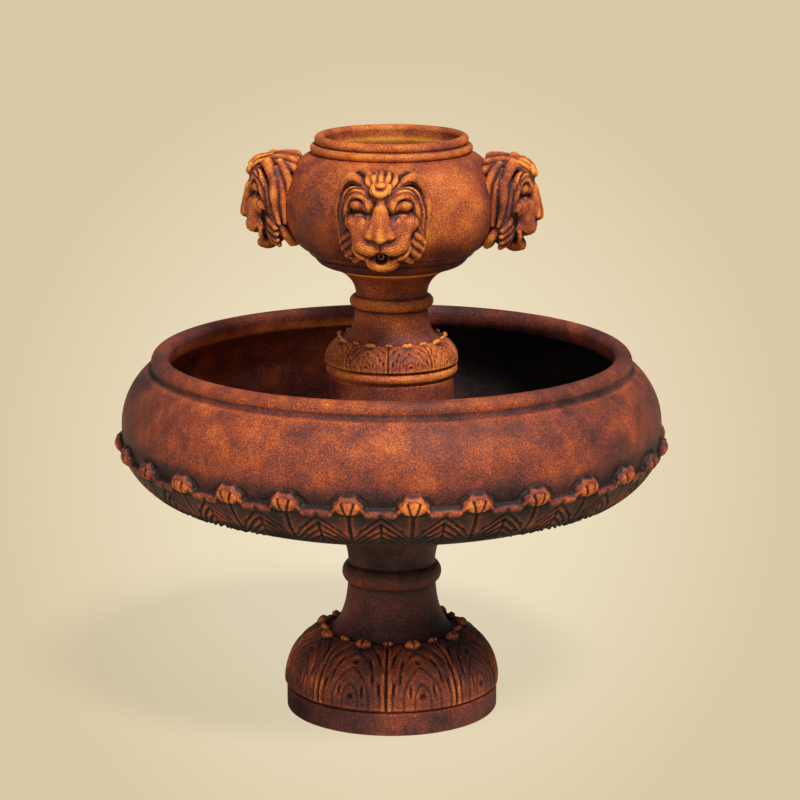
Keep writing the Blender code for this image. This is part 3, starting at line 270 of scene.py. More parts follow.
def collar_relief(angle, along, radius):
    """Relief of the basin's collar: fingered leaves, and a three-lobed bud over each joint."""
    reach = 188.0
    across = np.abs((angle * BASIN_LEAVES / (2 * math.pi)) % 1.0 - 0.5)
    pitch = 2 * math.pi * radius / BASIN_LEAVES / MM
    x, side, y = across * pitch, (0.5 - across) * pitch, along * reach
    edge = 130 + 30 * smooth_step(0.20, 0.40, across)
    body = smooth_step(-5.0, 4.0, edge - y)
    tip = 4.5 * dip((edge - 9 - y) / 8, 1) * (1 - 0.55 * dip(x, 6))
    chevron = y + 0.62 * x + 0.010 * x**2
    inside = smooth_step(1.5, 6.0, side) * (1 - smooth_step(112, 120, chevron))
    fingers = (grooved((chevron - 29) / 21.5) - 1) * inside * (0.75 + 0.25 * dip((x - 20) / 16, 1))
    vein = -6.5 * dip(x, 2.2) * (1 - smooth_step(92, 104, y))
    holes = dip(np.hypot(x, (y - 88) * 0.8), 4.5)
    for spot in ((22, 36), (34, 52), (42, 76), (28, 86)):
        holes = holes + slit(x, y, spot, 48, 8.0, 2.6)
    joint = -9.0 * dip(side, 2.6) * (1 - smooth_step(116, 122, y))
    leaf = body * (11 + tip + 9.0 * fingers + vein - 5.0 * np.minimum(holes, 1) + joint)
    bud_place = np.hypot(side / 35, (y - 138) / 20)
    spread = 2.0 + 14 * np.clip((y - 116) / 42, 0, 1)
    bud = BUD_RELIEF * dome(bud_place**1.12) - 6.0 * dip(side - spread, 2.0) * (bud_place < 0.97)
    rim = -1.5 * dip(bud_place - 1.10, 0.08)
    foot = smooth_step(11, 16, y + 3 * np.cos(2 * math.pi * x / 22))
    return MM * np.maximum((leaf + rim) * foot, np.where(bud_place < 1, bud, -100))


def make_lower_pedestal():
    low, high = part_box("lower_pedestal")
    top = high[2]
    outline = Outline(0.2333, 0)
    outline.curve((0.2393, 0), (0.2393, 0.006), 1.5 * MM)
    outline.line(0.2393, 0.046)
    outline.curve((0.2393, 0.052), (0.2345, 0.052), 1.5 * MM)
    outline.curve((0.2285, 0.052), (0.2285, 0.0535), 1.5 * MM)
    outline.arc((0.12, 0.070), (0.1165, 0.113), -8, 81, carved=True)
    stem_top = 0.2935
    outline.curve((0.103, 0.215), (0.0995, stem_top))
    outline.bulge((0.0985, 0.3385), 0.0135)
    outline.curve((0.0985, 0.405), (0.165, top - 0.006))
    outline.line(0.165, top)
    outline.line(0.055, top, 0.02)
    outline.line(0.055, 0.17, 0.03)
    outline.line(0.185, 0, 0.02)

    def tone(radius, height, lift, angle):
        leaves = smooth_step(0.05, 0.07, height) * (1 - smooth_step(0.15, 0.2, height))
        # Painted shade: darker up the stem towards the basin and on the +X side, where the basin's shadow
        # falls
        shade = 0.09 * smooth_step(0.26, 0.36, height) + 0.09 * smooth_step(0.2, 0.8, np.sin(angle))
        return 0.39 + 0.03 * leaves - shade + lift * 2

    columns = PEDESTAL_LEAVES * PEDESTAL_LEAF_COLUMNS
    item = turned("lower_pedestal_cast", outline, columns, pedestal_leaf(0.175, 0.0055), LOWER_TURN, tone)
    return item, ["lower_pedestal"]


def make_basin():
    low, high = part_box("basin")
    base = low[2]
    centre = (0.44, base + 0.202)
    outline = Outline(0.175, base)
    outline.curve((0.42, base + 0.006), (0.500, base + 0.052))
    outline.arc(centre, (0.164, 0.158), -64.8, 2.0, carved=True)
    outline.arc(centre, (0.164, 0.158), 2.5, 49.0)
    belly_top = outline.points[-1][1]
    outline.curve((0.539, belly_top + 0.002), (0.5362, belly_top + 0.0045), 2 * MM)
    outline.arc((0.5165, belly_top + 0.0205), (0.020, 0.020), -25, 190, step=2 * MM)
    outline.arc(centre, (0.118, 0.135), 60, -70)
    outline.curve((0.40, base + 0.0465), (0.175, base + 0.0457), 0.012)
    outline.line(0.0205, base + 0.0457, 0.02)
    outline.line(0.0145, base + 0.0207, 0.02)
    outline.line(0.0145, base, 0.02)
    between_walls = (0.141, 0.1465)
    floor_level = base + 0.035

    def tone(radius, height, lift, angle):
        belly = smooth_step(base + 0.165, base + 0.20, height)
        reach = np.hypot((radius - centre[0]) / between_walls[0], (height - centre[1]) / between_walls[1])
        inner = (reach < 1) | ((radius < 0.47) & (height > floor_level))
        buds = smooth_step(0.012, 0.018, lift)
        tips = smooth_step(0.009, 0.014, lift) * smooth_step(base + 0.10, base + 0.13, height)
        # A darker band on the plain belly just above the collar
        band_above_collar = dip((height - base - 0.190) / 0.009, 1) * (lift < 0.003)
        # Painted shade: the lowest part of the collar, darker towards its bottom edge
        below = 1 - smooth_step(base + 0.058, base + 0.088, height)
        # Painted shade: the outside darker round the sides and back, away from the front
        painted_shade_flanks = 1 - smooth_step(0.45, 0.92, np.cos(angle))
        outside = 0.24 + 0.265 * belly + 0.36 * buds - 0.12 * tips
        outside = outside - 0.04 * band_above_collar - 0.62 * below - 0.10 * painted_shade_flanks
        # Inside: painted shadow that darkens the +X half, over some real staining
        stain_and_painted_shadow = 0.55 - 0.54 * smooth_step(-0.45, 0.40, np.sin(angle))
        return np.where(inner, stain_and_painted_shadow, outside)

    item = turned("basin_cast", outline, BASIN_LEAVES * BASIN_LEAF_COLUMNS, collar_relief, BASIN_TURN, tone)
    return item, ["basin"]


def spin_matrix(turn):
    """Turn about the fountain's axis."""
    cosine, sine = math.cos(turn), math.sin(turn)
    return np.array([[cosine, -sine, 0], [sine, cosine, 0], [0, 0, 1]])


def arch_points(width, height, count=12):
    half = width / 2
    spring = height - half
    angles = [math.pi * i / count for i in range(count + 1)]
    crown = [(half * math.cos(angle), spring + half * math.sin(angle)) for angle in angles]
    return [(-half, -height), (half, -height)] + crown


def arch_cutter(width, height, start, end, turn, level):
    """Round-topped prism along +Y for a notch or inlet, turned about the fountain's axis."""
    outline = arch_points(width, height)
    count = len(outline)
    points = np.array([(x, y, z + level) for y in (start, end) for x, z in outline])
    sides = np.array([(i, i + count, (i + 1) % count + count, (i + 1) % count) for i in range(count)])
    caps = np.array([range(count), range(2 * count - 1, count - 1, -1)])
    return mesh_object("arch", points @ spin_matrix(turn).T, [sides, caps], {}, smooth=False)


def carve_away(item, cutters):
    """Cuts the cutters out of an object and removes them."""
    for cutter in cutters:
        modifier = item.modifiers.new("cut", "BOOLEAN")
        modifier.operation = "DIFFERENCE"
        modifier.solver = "MANIFOLD"
        modifier.object = cutter
    graph = bpy.context.evaluated_depsgraph_get()
    cut = bpy.data.meshes.new_from_object(item.evaluated_get(graph))
    item.modifiers.clear()
    item.data = cut
    for cutter in cutters:
        bpy.data.objects.remove(cutter, do_unlink=True)


def make_riser():
    low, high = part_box("pump_riser")
    base, top = low[2], high[2]
    outline = Outline(0.140, base)
    outline.line(0.140, top - 0.006)
    outline.curve((0.140, top), (0.134, top), 1.5 * MM)
    outline.line(0.118, top)
    outline.line(0.118, base, 0.02)

    def tone(radius, height, lift, angle):
        return 0.49 + 0.12 * smooth_step(top - 0.012, top, height)

    item = turned("pump_riser_cast", outline, 320, tone=tone)
    turns = [math.pi / 2 * i for i in range(4)]
    carve_away(item, [arch_cutter(0.036, 0.030, 0.08, 0.2, turn, base) for turn in turns])
    return item, ["pump_riser"]


def make_upper_pedestal():
    low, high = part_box("upper_pedestal")
    base, top = low[2], high[2]
    outline = Outline(0.138, base)
    outline.bulge((0.138, base + 0.0245), 0.0095, 1.5 * MM)
    outline.line(0.1375, base + 0.0275, 1.5 * MM)
    outline.arc((0.075, base + 0.0358), (0.0695, 0.053), -8.5, 62, carved=True)
    stem_top = base + 0.1515
    outline.curve((0.0815, outline.points[-1][1] + 0.012), (0.0815, stem_top))
    outline.bulge((0.0795, base + 0.179), 0.013)
    outline.curve((0.080, base + 0.219), (0.124, top - 0.003))
    outline.line(0.124, top)
    outline.line(0.035, top, 0.02)
    outline.line(0.035, base, 0.02)

    def tone(radius, height, lift, angle):
        leaves = smooth_step(base + 0.03, base + 0.04, height)
        leaves = leaves * (1 - smooth_step(base + 0.1, base + 0.14, height))
        return 0.66 - 0.12 * leaves + lift * 2

    columns = PEDESTAL_LEAVES * PEDESTAL_LEAF_COLUMNS
    item = turned("upper_pedestal_cast", outline, columns, pedestal_leaf(0.082, 0.0034), UPPER_TURN, tone)
    return item, ["upper_pedestal"]


def urn_outline(base):
    outline = Outline(0.125, base)
    outline.curve((0.163, base + 0.004), (0.1715, base + 0.0262))
    outline.line(0.1755, base + 0.0282, 1.5 * MM)
    outline.curve((0.186, base + 0.0322), (0.186, base + 0.0445), 2.5 * MM)
    level = base + 0.0445 + 0.113 * math.sin(math.radians(60.7))
    outline.arc((0.15, level), (0.0921, 0.113), -60.7, 0)
    outline.arc((0.15, level), (0.0921, 0.1175), 0.5, 66.8)
    shoulder = outline.points[-1][1]
    outline.line(0.172, shoulder + 0.006, 1.5 * MM)
    outline.bulge((0.168, shoulder + 0.0235), 0.0095)
    outline.arc((0.1595, shoulder + 0.0335), (0.0105, 0.0105), -50, 190, step=2 * MM)
    return outline, level, shoulder


def make_urn():
    low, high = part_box("urn")
    base = low[2]
    outline, level, shoulder = urn_outline(base)
    outline.line(0.149, shoulder + 0.006)
    outline.arc((0.15, level), (0.0651, 0.090), 72, -78)
    outline.line(0.034, base + 0.034, 0.02)
    outline.line(0.0129, base + 0.034, 0.02)
    outline.line(0.0129, base, 0.02)

    def tone(radius, height, lift, angle):
        body = smooth_step(base + 0.04, base + 0.12, height)
        below_lip = 1 - smooth_step(shoulder - 0.03, shoulder, height)
        # Painted highlight: a lighter patch on the body at the front right, below the lip
        painted_highlight = smooth_step(0.88, 1.0, np.cos(angle - PAINTED_HIGHLIGHT_PLACE)) * body * below_lip
        # A darker patch on the body at the front left, below the lip
        darker_patch = smooth_step(0.90, 1.0, np.cos(angle - DARKER_PATCH_PLACE)) * body * below_lip
        top = smooth_step(shoulder - 0.01, shoulder + 0.01, height)
        return 0.37 + 0.21 * body + 0.06 * top + 0.10 * painted_highlight - 0.04 * darker_patch

    return turned("urn_cast", outline, 512, tone=tone), ["urn"]


class Clay:
    """Block of signed distances that masses are added to and cut from, in millimetres.

    Its three directions are across (to the lion's left), up from the head's centre and out from the axis.
    """

    def __init__(self, low, high, step):
        self.low, self.step = np.array(low, float), step
        self.axes = [np.arange(a, b, step) for a, b in zip(low, high)]
        self.field = np.full([len(axis) for axis in self.axes], 30.0, np.float32)

    def window(self, low, high, margin):
        """Slices that hold a box, and its coordinates."""
        slices, coordinates = [], []
        for index, axis in enumerate(self.axes):
            start = max(int((low[index] - margin - self.low[index]) / self.step), 0)
            end = min(int((high[index] + margin - self.low[index]) / self.step) + 2, len(axis))
            slices.append(slice(start, max(end, start)))
            shape = [1, 1, 1]
            shape[index] = -1
            coordinates.append(axis[slices[-1]].reshape(shape))
        return tuple(slices), coordinates

    def merge(self, slices, distance, blend, cut):
        here = self.field[slices]
        other = -distance if cut else distance
        near = np.clip(blend - np.abs(here - other), 0, None) / blend
        soft = near * near * blend / 4
        self.field[slices] = np.maximum(here, other) + soft if cut else np.minimum(here, other) - soft

    def ball(self, centre, radii, blend=8.0, cut=False):
        centre, radii = np.array(centre, float), np.array(radii, float)
        slices, (u, v, w) = self.window(centre - radii, centre + radii, blend + 4)
        offsets = [(axis - centre[i]) / radii[i] for i, axis in enumerate((u, v, w))]
        reach = np.sqrt(sum(o * o for o in offsets))
        slope = np.sqrt(sum((o / radii[i]) ** 2 for i, o in enumerate(offsets)))
        distance = reach * (reach - 1) / np.maximum(slope, 1e-6)
        self.merge(slices, distance, blend, cut)

    def stroke(self, path, radii, blend=4.0, cut=False):
        """Tapered lock or groove along a smooth curve through the path's points."""
        line = smooth_path(path)
        sizes = np.interp(np.linspace(0, 1, len(line)), np.linspace(0, 1, len(radii)), radii)
        slices, (u, v, w) = self.window(line.min(0), line.max(0), max(radii) + blend + 2)
        distance = None
        for (a, b), (r, s) in zip(zip(line, line[1:]), zip(sizes, sizes[1:])):
            d = b - a
            t = ((u - a[0]) * d[0] + (v - a[1]) * d[1] + (w - a[2]) * d[2]) / max(d @ d, 1e-6)
            t = np.clip(t, 0, 1)
            offsets = [axis - a[i] - t * d[i] for i, axis in enumerate((u, v, w))]
            gap = np.sqrt(sum(o * o for o in offsets))
            gap = gap - (r + (s - r) * t)
            distance = gap if distance is None else np.minimum(distance, gap)
        self.merge(slices, distance, blend, cut)

    def front(self, across, up):
        """How far out the surface lies, seen from the front."""
        i = int(round((across - self.low[0]) / self.step))
        j = int(round((up - self.low[1]) / self.step))
        column = self.field[i, j]
        solid = np.nonzero(column < 0)[0]
        if len(solid) == 0:
            return self.axes[2][0]
        k = solid[-1]
        if k + 1 >= len(column):
            return self.axes[2][k]
        share = column[k] / (column[k] - column[k + 1])
        return self.axes[2][k] + share * self.step

    def draw(self, path, radii, blend=2.0, cut=True, depth=0.0):
        """Stroke laid on the front surface, from (across, up) points."""
        line = smooth_path([(*point, 0) for point in path])
        placed = [(u, v, self.front(u, v) - depth) for u, v, _ in line]
        self.stroke(placed, radii, blend, cut)


def smooth_path(path, parts=4):
    """Points along a Catmull-Rom curve through the path's points."""
    path = np.array(path, float)
    if len(path) == 2:
        return path
    ends = np.vstack([2 * path[0] - path[1], path, 2 * path[-1] - path[-2]])
    line = []
    for a, b, c, d in zip(ends, ends[1:], ends[2:], ends[3:]):
        for t in np.arange(parts) / parts:
            line.append(
                0.5 * (2 * b + (c - a) * t + (2 * a - 5 * b + 4 * c - d) * t**2)
                + 0.5 * (3 * b - a - 3 * c + d) * t**3
            )
    return np.array(line + [path[-1]])


def mirrored(path):
    return [(-point[0], *point[1:]) for point in path]


def skin(field, low, step):
    """Quads round the solid part of a block of signed distances, with one point in each crossed cell."""
    solid = field < 0
    shape = np.array(field.shape) - 1
    total = np.zeros((*shape, 3))
    count = np.zeros(shape)
    for axis in range(3):
        others = [a for a in range(3) if a != axis]
        start = [slice(None)] * 3
        end = [slice(None)] * 3
        start[axis], end[axis] = slice(0, -1), slice(1, None)
        a, b = field[tuple(start)], field[tuple(end)]
        crossed = (a < 0) != (b < 0)
        share = np.where(crossed, a / np.where(crossed, a - b, 1), 0)
        for first in (0, 1):
            for second in (0, 1):
                take = [slice(None)] * 3
                take[others[0]] = slice(first, first + shape[others[0]])
                take[others[1]] = slice(second, second + shape[others[1]])
                hit = crossed[tuple(take)]
                count += hit
                total[..., axis] += hit * share[tuple(take)]
                total[..., others[0]] += hit * first
                total[..., others[1]] += hit * second
    cells = count > 0
    index = np.full(shape, -1)
    index[cells] = np.arange(cells.sum())
    places = np.argwhere(cells) + total[cells] / count[cells][:, None]
    faces = []
    for axis in range(3):
        one, two = [a for a in range(3) if a != axis]
        start = [slice(1, -1)] * 3
        end = [slice(1, -1)] * 3
        start[axis], end[axis] = slice(0, -1), slice(1, None)
        a, b = solid[tuple(start)], solid[tuple(end)]
        for entering in (True, False):
            where = np.argwhere(~a & b if entering else a & ~b)
            where[:, one] += 1
            where[:, two] += 1
            ring = []
            for d1, d2 in ((1, 1), (0, 1), (0, 0), (1, 0)):
                cell = where.copy()
                cell[:, one] -= d1
                cell[:, two] -= d2
                ring.append(index[tuple(cell.T)])
            if entering != (axis == 1):
                ring = ring[::-1]
            faces.append(np.stack(ring, 1))
    return np.array(low) + places * step, np.concatenate(faces), places


def sample(field, places):
    """Value of a block at places given in its own steps."""
    base = np.clip(np.floor(places).astype(int), 0, np.array(field.shape) - 2)
    share = places - base
    value = 0
    for corner in np.ndindex(2, 2, 2):
        weight = np.prod(np.where(np.array(corner), share, 1 - share), axis=1)
        value = value + weight * field[tuple((base + corner).T)]
    return value


def blurred(field, times):
    for _ in range(times):
        for axis in range(3):
            field = (np.roll(field, 1, axis) + 2 * field + np.roll(field, -1, axis)) / 4
    return field


def sculpt_head():
    """Lion's head modelled in clay: skull and face masses, then locks, then cut lines."""
    clay = Clay((-112, -112, 186), (112, 124, 350), CLAY_STEP / MM)
    pairs = (1, -1)

    # Skull, back of the mane, and the block of the face
    clay.ball((0, 22, 246), (70, 80, 52))
    clay.ball((0, 2, 214), (86, 100, 34))
    clay.ball((0, -8, 262), (60, 64, 42), 12)
    clay.ball((0, -34, 284), (46, 34, 36), 14)
    clay.ball((0, 64, 286), (36, 26, 27), 12)
    clay.ball((2, -86, 274), (35, 18, 24), 6)
    for side in pairs:
        clay.ball((side * 57, 4, 274), (22, 22, 25), 12)
        clay.ball((side * 24, -47, 298), (28, 18, 24), 8)
        clay.ball((side * 45, -40, 284), (18, 18, 22), 8)

    # Nose: narrow between the brows, then a broad flat pad
    clay.stroke([(1, 66, 304), (1, 46, 308), (1, 34, 311)], (9, 9, 10), 8)
    clay.stroke([(1, 36, 314), (1, 12, 317), (1, -14, 320)], (10, 13, 16), 8)
    for side in pairs:
        clay.stroke([(side * 6, 34, 311), (side * 11, 12, 314), (side * 18, -12, 317)], (8, 10, 13), 8)
        clay.ball((side * 20, -20, 316), (13, 8, 13), 6)
    clay.ball((1, -25, 323), (12, 9, 13), 8)

    # Brows and lids
    for side in pairs:
        clay.ball((side * 25, 44, 297), (15, 19, 16), 6)
        clay.ball((side * 47, 43, 284), (20, 15, 19), 8)
        brow = [(side * 16, 30, 304), (side * 34, 57, 302), (side * 54, 63, 294), (side * 74, 54, 280)]
        clay.stroke(brow, (4, 6, 6, 5), 3)
        clay.ball((side * 43, 22, 309), (14, 6, 15), 3, cut=True)
        clay.ball((side * 44, 21, 290), (12, 6, 9), 2)
        clay.stroke([(side * 52, 3, 290), (side * 48, -16, 294), (side * 38, -36, 300)], (15, 17, 18), 10)
        clay.ball((side * 33, -4, 300), (17, 24, 17), 12)

    # Forelock: a curled knob with locks that stand up behind it
    knob = [(-14, 84, 308), (-14, 74, 313), (0, 69, 315), (14, 74, 313), (17, 84, 308)]
    clay.stroke(knob, (7, 8, 8, 8, 7), 4)
    clay.ball((1, 86, 302), (16, 10, 16), 4)
    clay.ball((0, 92, 278), (34, 16, 22), 8)
    locks = [
        [(0, 88, 308), (0, 99, 295), (-1, 106, 266)],
        [(-10, 87, 305), (-14, 98, 291), (-13, 105, 264)],
        [(11, 87, 305), (15, 98, 291), (15, 105, 264)],
        [(-18, 82, 302), (-28, 92, 288), (-28, 100, 262)],
        [(20, 82, 302), (29, 92, 288), (29, 100, 262)],
        [(-23, 73, 298), (-38, 82, 284), (-42, 91, 260)],
        [(24, 73, 298), (38, 82, 284), (43, 91, 260)],
    ]
    for lock in locks:
        clay.stroke(lock, (6.5, 7.5, 6), 1.5)

    # Mane: a thick fringe of locks that curl from the forehead round the face to the jaw
    for side in pairs:
        clay.ball((side * 66, 26, 240), (26, 66, 24), 8)
        clay.ball((side * 56, -46, 246), (26, 36, 22), 8)
    mane = [
        ([(34, 74, 282), (46, 88, 276), (64, 96, 268), (80, 84, 260), (88, 62, 252)], (8, 10, 12, 12, 10)),
        ([(88, 62, 250), (91, 30, 250), (88, 0, 248), (92, -34, 240)], (11, 12, 10, 4)),
        ([(74, 56, 266), (82, 24, 262), (80, -6, 258), (86, -32, 248)], (9, 10, 9, 4)),
        ([(26, 62, 298), (42, 70, 294), (60, 72, 286), (74, 60, 276), (80, 40, 266)], (7, 9, 10, 9, 7)),
        ([(56, 62, 290), (68, 50, 282), (74, 26, 274), (73, 4, 266), (78, -18, 258)], (7, 8, 9, 8, 4)),
        ([(62, -20, 266), (76, -30, 260), (88, -44, 248)], (8, 9, 6)),
        ([(58, -34, 268), (72, -46, 260), (84, -58, 246)], (8, 9, 6)),
        ([(52, -48, 268), (65, -62, 260), (76, -73, 246)], (9, 9, 6)),
        ([(44, -60, 266), (52, -76, 256), (60, -86, 243)], (9, 9, 6)),
    ]
    for path, radii in mane:
        clay.stroke(path, radii, 2.5)
        clay.stroke(mirrored(path), radii, 2.5)
    back_locks = [
        ([(78, 84, 248), (88, 56, 236), (88, 16, 232), (84, -30, 228)], (9, 10, 10, 7)),
        ([(64, 96, 240), (84, 78, 226), (88, 40, 214), (87, 0, 210), (82, -44, 208)], (10, 10, 10, 10, 7)),
        ([(22, 98, 268), (34, 100, 244), (48, 98, 216)], (9, 12, 12)),
        ([(50, 92, 262), (60, 92, 240), (70, 86, 212)], (9, 11, 11)),
        ([(78, -40, 240), (78, -60, 226), (70, -80, 214)], (9, 10, 8)),
    ]
    for path, radii in back_locks:
        clay.stroke(path, radii, 2.5)
        clay.stroke(mirrored(path), radii, 2.5)
    clay.ball((0, 94, 240), (26, 17, 34), 6)
    for side in pairs:
        clay.draw([(side * 44, 84), (side * 62, 90), (side * 78, 78), (side * 84, 56)], (1.2, 2, 2, 1.2))
        clay.draw([(side * 40, 78), (side * 58, 80), (side * 72, 70), (side * 80, 52)], (2, 4, 4, 2), depth=1)
        clay.draw([(side * 36, 66), (side * 54, 72), (side * 70, 62), (side * 76, 44)], (1, 1.8, 1.8, 1))
        clay.draw([(side * 60, 60), (side * 70, 40), (side * 72, 14), (side * 76, -10)], (1, 1.8, 1.8, 1))
        clay.draw([(side * 84, 44), (side * 87, 16), (side * 85, -8), (side * 90, -26)], (1.4, 2.2, 2.2, 1.4))
        clay.draw([(side * 94, 40), (side * 95, 10), (side * 94, -20)], (1, 1.8, 1))
        clay.stroke(
            [(side * 68, 12, 280), (side * 69, -10, 276), (side * 62, -28, 276), (side * 55, -46, 276)],
            (2, 6, 6, 3),
            2,
            cut=True,
        )

    # Mouth: open round the spout, with folds at its corners
    clay.ball((0, -71, 308), (16, 12.5, 34), 3, cut=True)
    for side in pairs:
        clay.stroke(
            [(side * 10, -64, 316), (side * 28, -66, 306), (side * 43, -61, 298), (side * 56, -46, 290)],
            (2, 2.5, 5, 3.5),
            2,
            cut=True,
        )
        clay.stroke([(side * 40, -72, 284), (side * 52, -64, 286), (side * 60, -50, 284)], (5, 5, 4), 4)
        clay.stroke([(side * 29, -78, 284), (side * 20, -88, 288), (side * 6, -92, 290)], (6, 8, 8), 5)

    # Cut lines
    for side in pairs:
        clay.draw([(side * 10, 62), (side * 13, 44), (side * 20, 30), (side * 31, 25)], (1.6, 2.2, 2.2, 1.4))
        clay.draw([(side * 20, 80), (side * 17, 68), (side * 9, 62)], (2.0, 2.6, 1.6))
        clay.draw([(side * 31, 30), (side * 34, 42), (side * 46, 55), (side * 64, 51)], (1.4, 2.2, 2.4, 1.4))
        clay.draw([(side * 28, 24), (side * 43, 27), (side * 60, 24)], (1.5, 2.6, 1.5))
        clay.draw([(side * 31, 14), (side * 34, 20), (side * 40, 21)], (2.2, 3.6, 2.4))
        clay.draw([(side * 18, 14), (side * 25, 0), (side * 32, -14)], (1, 1.4, 1), 1.2)
        nostril = [(side * 4, -36), (side * 14, -30), (side * 26, -30), (side * 33, -22)]
        clay.draw(nostril, (1.6, 2.8, 2.4, 1.2))
        for line in range(4):
            top = -36 - 7 * line
            clay.draw([(side * 7, top - 5), (side * 26, top - 3), (side * 48, top + 7)], (0.9, 1.3, 0.9), 1.2)
        clay.draw([(side * 8, -92), (side * 20, -88), (side * 32, -80)], (1.0, 1.5, 1.0))
        clay.draw([(side * 8, -98), (side * 20, -95), (side * 30, -88)], (1.0, 1.5, 1.0))
    clay.draw([(1, -38), (0, -46), (-1, -56)], (1.6, 2.0, 1.4))
    clay.ball((0, -71, 314), (19, 15, 44), 3, cut=True)
    for spot in ((-15, 102), (8, 103), (22, 99), (-28, 94), (34, 91)):
        foot = (spot[0] * 0.9, spot[1] - 10, 300)
        clay.stroke([foot, (*spot, 286), (spot[0], spot[1] + 7, 266)], (2, 3.2, 2.6), 1, cut=True)
    return clay


def make_heads():
    """One head sculpted, hollowed to the urn's wall and bored for its spout, then set on four sides."""
    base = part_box("urn")[0][2]
    centre = base + 0.1414
    clay = sculpt_head()
    outline, level, shoulder = urn_outline(base)
    wall = np.array(outline.points)
    u, v, w = (axis.reshape(shape) for axis, shape in zip(clay.axes, ((-1, 1, 1), (1, -1, 1), (1, 1, -1))))
    order = np.argsort(wall[:, 1])
    face = np.interp(centre + clay.axes[1] * MM, wall[order, 1], wall[order, 0]) / MM
    from_wall = np.hypot(u, w) - face.reshape(1, -1, 1) - 0.6
    clay.field = np.maximum(clay.field, -from_wall)
    bore = np.hypot(u, v + 68) - 6.9
    clay.field = np.maximum(clay.field, -bore)
    clay.field[[0, -1]] = 30
    clay.field[:, [0, -1]] = 30
    points, faces, places = skin(clay.field, clay.low, clay.step)
    fine = sample(blurred(clay.field, 4), places)
    broad = sample(blurred(clay.field, 24), places)
    across, up, out = points.T * MM
    place = np.stack([across, -out, centre + up], 1)
    # How proud each point stands, from the blurred field. The finish reads it for wear and dirt, and paints
    # shade into the hollows of the face and mane from it.
    raised = 1.3 * fine + 0.4 * broad - 0.75
    tone = 0.56 + 0.18 * smooth_step(272, 322, out / MM)
    heads = []
    for index, side in enumerate(LION_SIDES):
        turn = math.pi / 2 * index
        name = f"lion_head_{side}"
        spun = place @ spin_matrix(turn).T
        item = mesh_object(f"{name}_cast", spun, [faces], {"raised": raised, "tone": tone})
        heads.append((item, [name]))
    return heads


def make_tubes():
    """Smooth copper tubes in place of the faceted ones."""
    made = []
    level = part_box("spout_tube_front")[0][2] / 2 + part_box("spout_tube_front")[1][2] / 2
    start = -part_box("spout_tube_front")[1][1]
    end = -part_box("spout_tube_front")[0][1]
    for index, side in enumerate(LION_SIDES):
        outline = Outline(0.0062, start)
        outline.line(0.0065, start + 0.0005)
        outline.line(0.0065, end - 0.0005)
        outline.line(0.0062, end)
        outline.line(0.0052, end)
        outline.line(0.0050, end - 0.0004)
        outline.line(0.0050, start)
        item = turned(f"spout_tube_{side}_smooth", outline, 48)
        item.rotation_euler = (math.pi / 2, 0, math.pi / 2 * index)
        item.location.z = level
        made.append((item, [f"spout_tube_{side}"]))
    return made


class Finish:
    """Material under construction: a Principled shader and the nodes that drive it."""

    def __init__(self, name, roughness=0.5, metallic=0.0):
        self.material = bpy.data.materials.new(name)
        self.material.use_nodes = True
        self.tree = self.material.node_tree
        self.shader = self.tree.nodes["Principled BSDF"]
        self.shader.inputs["Roughness"].default_value = roughness
        self.shader.inputs["Metallic"].default_value = metallic
        self.place = self.tree.nodes.new("ShaderNodeTexCoord").outputs["Object"]

    def link(self, value, socket):
        if isinstance(value, bpy.types.NodeSocket):
            self.tree.links.new(value, socket)
        else:
            socket.default_value = value

    def noise(self, scale, detail=3.0, rough=0.55, stretch=None):
        node = self.tree.nodes.new("ShaderNodeTexNoise")
        node.inputs["Scale"].default_value = scale
        node.inputs["Detail"].default_value = detail
        node.inputs["Roughness"].default_value = rough
        place = self.place
        if stretch:
            mapping = self.tree.nodes.new("ShaderNodeMapping")
            mapping.inputs["Scale"].default_value = stretch
            self.tree.links.new(place, mapping.inputs["Vector"])
            place = mapping.outputs["Vector"]
        self.tree.links.new(place, node.inputs["Vector"])
        return node.outputs["Fac"]

    def math(self, operation, first, second=0.0, clamp=False):
        node = self.tree.nodes.new("ShaderNodeMath")
        node.operation = operation
        node.use_clamp = clamp
        self.link(first, node.inputs[0])
        self.link(second, node.inputs[1])
        return node.outputs[0]

    def total(self, *terms):
        """Sum of terms, each a number or a (socket, factor) pair."""
        result = 0.0
        for term in terms:
            value = self.math("MULTIPLY", *term) if isinstance(term, tuple) else term
            result = self.math("ADD", result, value)
        return result

    def attribute(self, name):
        node = self.tree.nodes.new("ShaderNodeAttribute")
        node.attribute_name = name
        return node.outputs["Fac"]

    def ramp(self, value, stops):
        node = self.tree.nodes.new("ShaderNodeValToRGB")
        elements = node.color_ramp.elements
        while len(elements) < len(stops):
            elements.new(0.5)
        for element, (position, color) in zip(elements, stops):
            element.position = position
            element.color = (*color, 1)
        self.link(value, node.inputs["Fac"])
        return node.outputs["Color"]

    def mix(self, share, first, second):
        node = self.tree.nodes.new("ShaderNodeMix")
        node.data_type = "RGBA"
        self.link(share, node.inputs["Factor"])
        self.link(first if isinstance(first, bpy.types.NodeSocket) else (*first, 1), node.inputs["A"])
        self.link(second if isinstance(second, bpy.types.NodeSocket) else (*second, 1), node.inputs["B"])
        return node.outputs["Result"]

    def range(self, value, low, high, to_low=0.0, to_high=1.0):
        node = self.tree.nodes.new("ShaderNodeMapRange")
        self.link(value, node.inputs["Value"])
        for key, number in (("From Min", low), ("From Max", high), ("To Min", to_low), ("To Max", to_high)):
            node.inputs[key].default_value = number
        return node.outputs["Result"]

    def bump(self, height, strength, distance):
        node = self.tree.nodes.new("ShaderNodeBump")
        node.inputs["Strength"].default_value = strength
        node.inputs["Distance"].default_value = distance
        self.link(height, node.inputs["Height"])
        self.tree.links.new(node.outputs["Normal"], self.shader.inputs["Normal"])


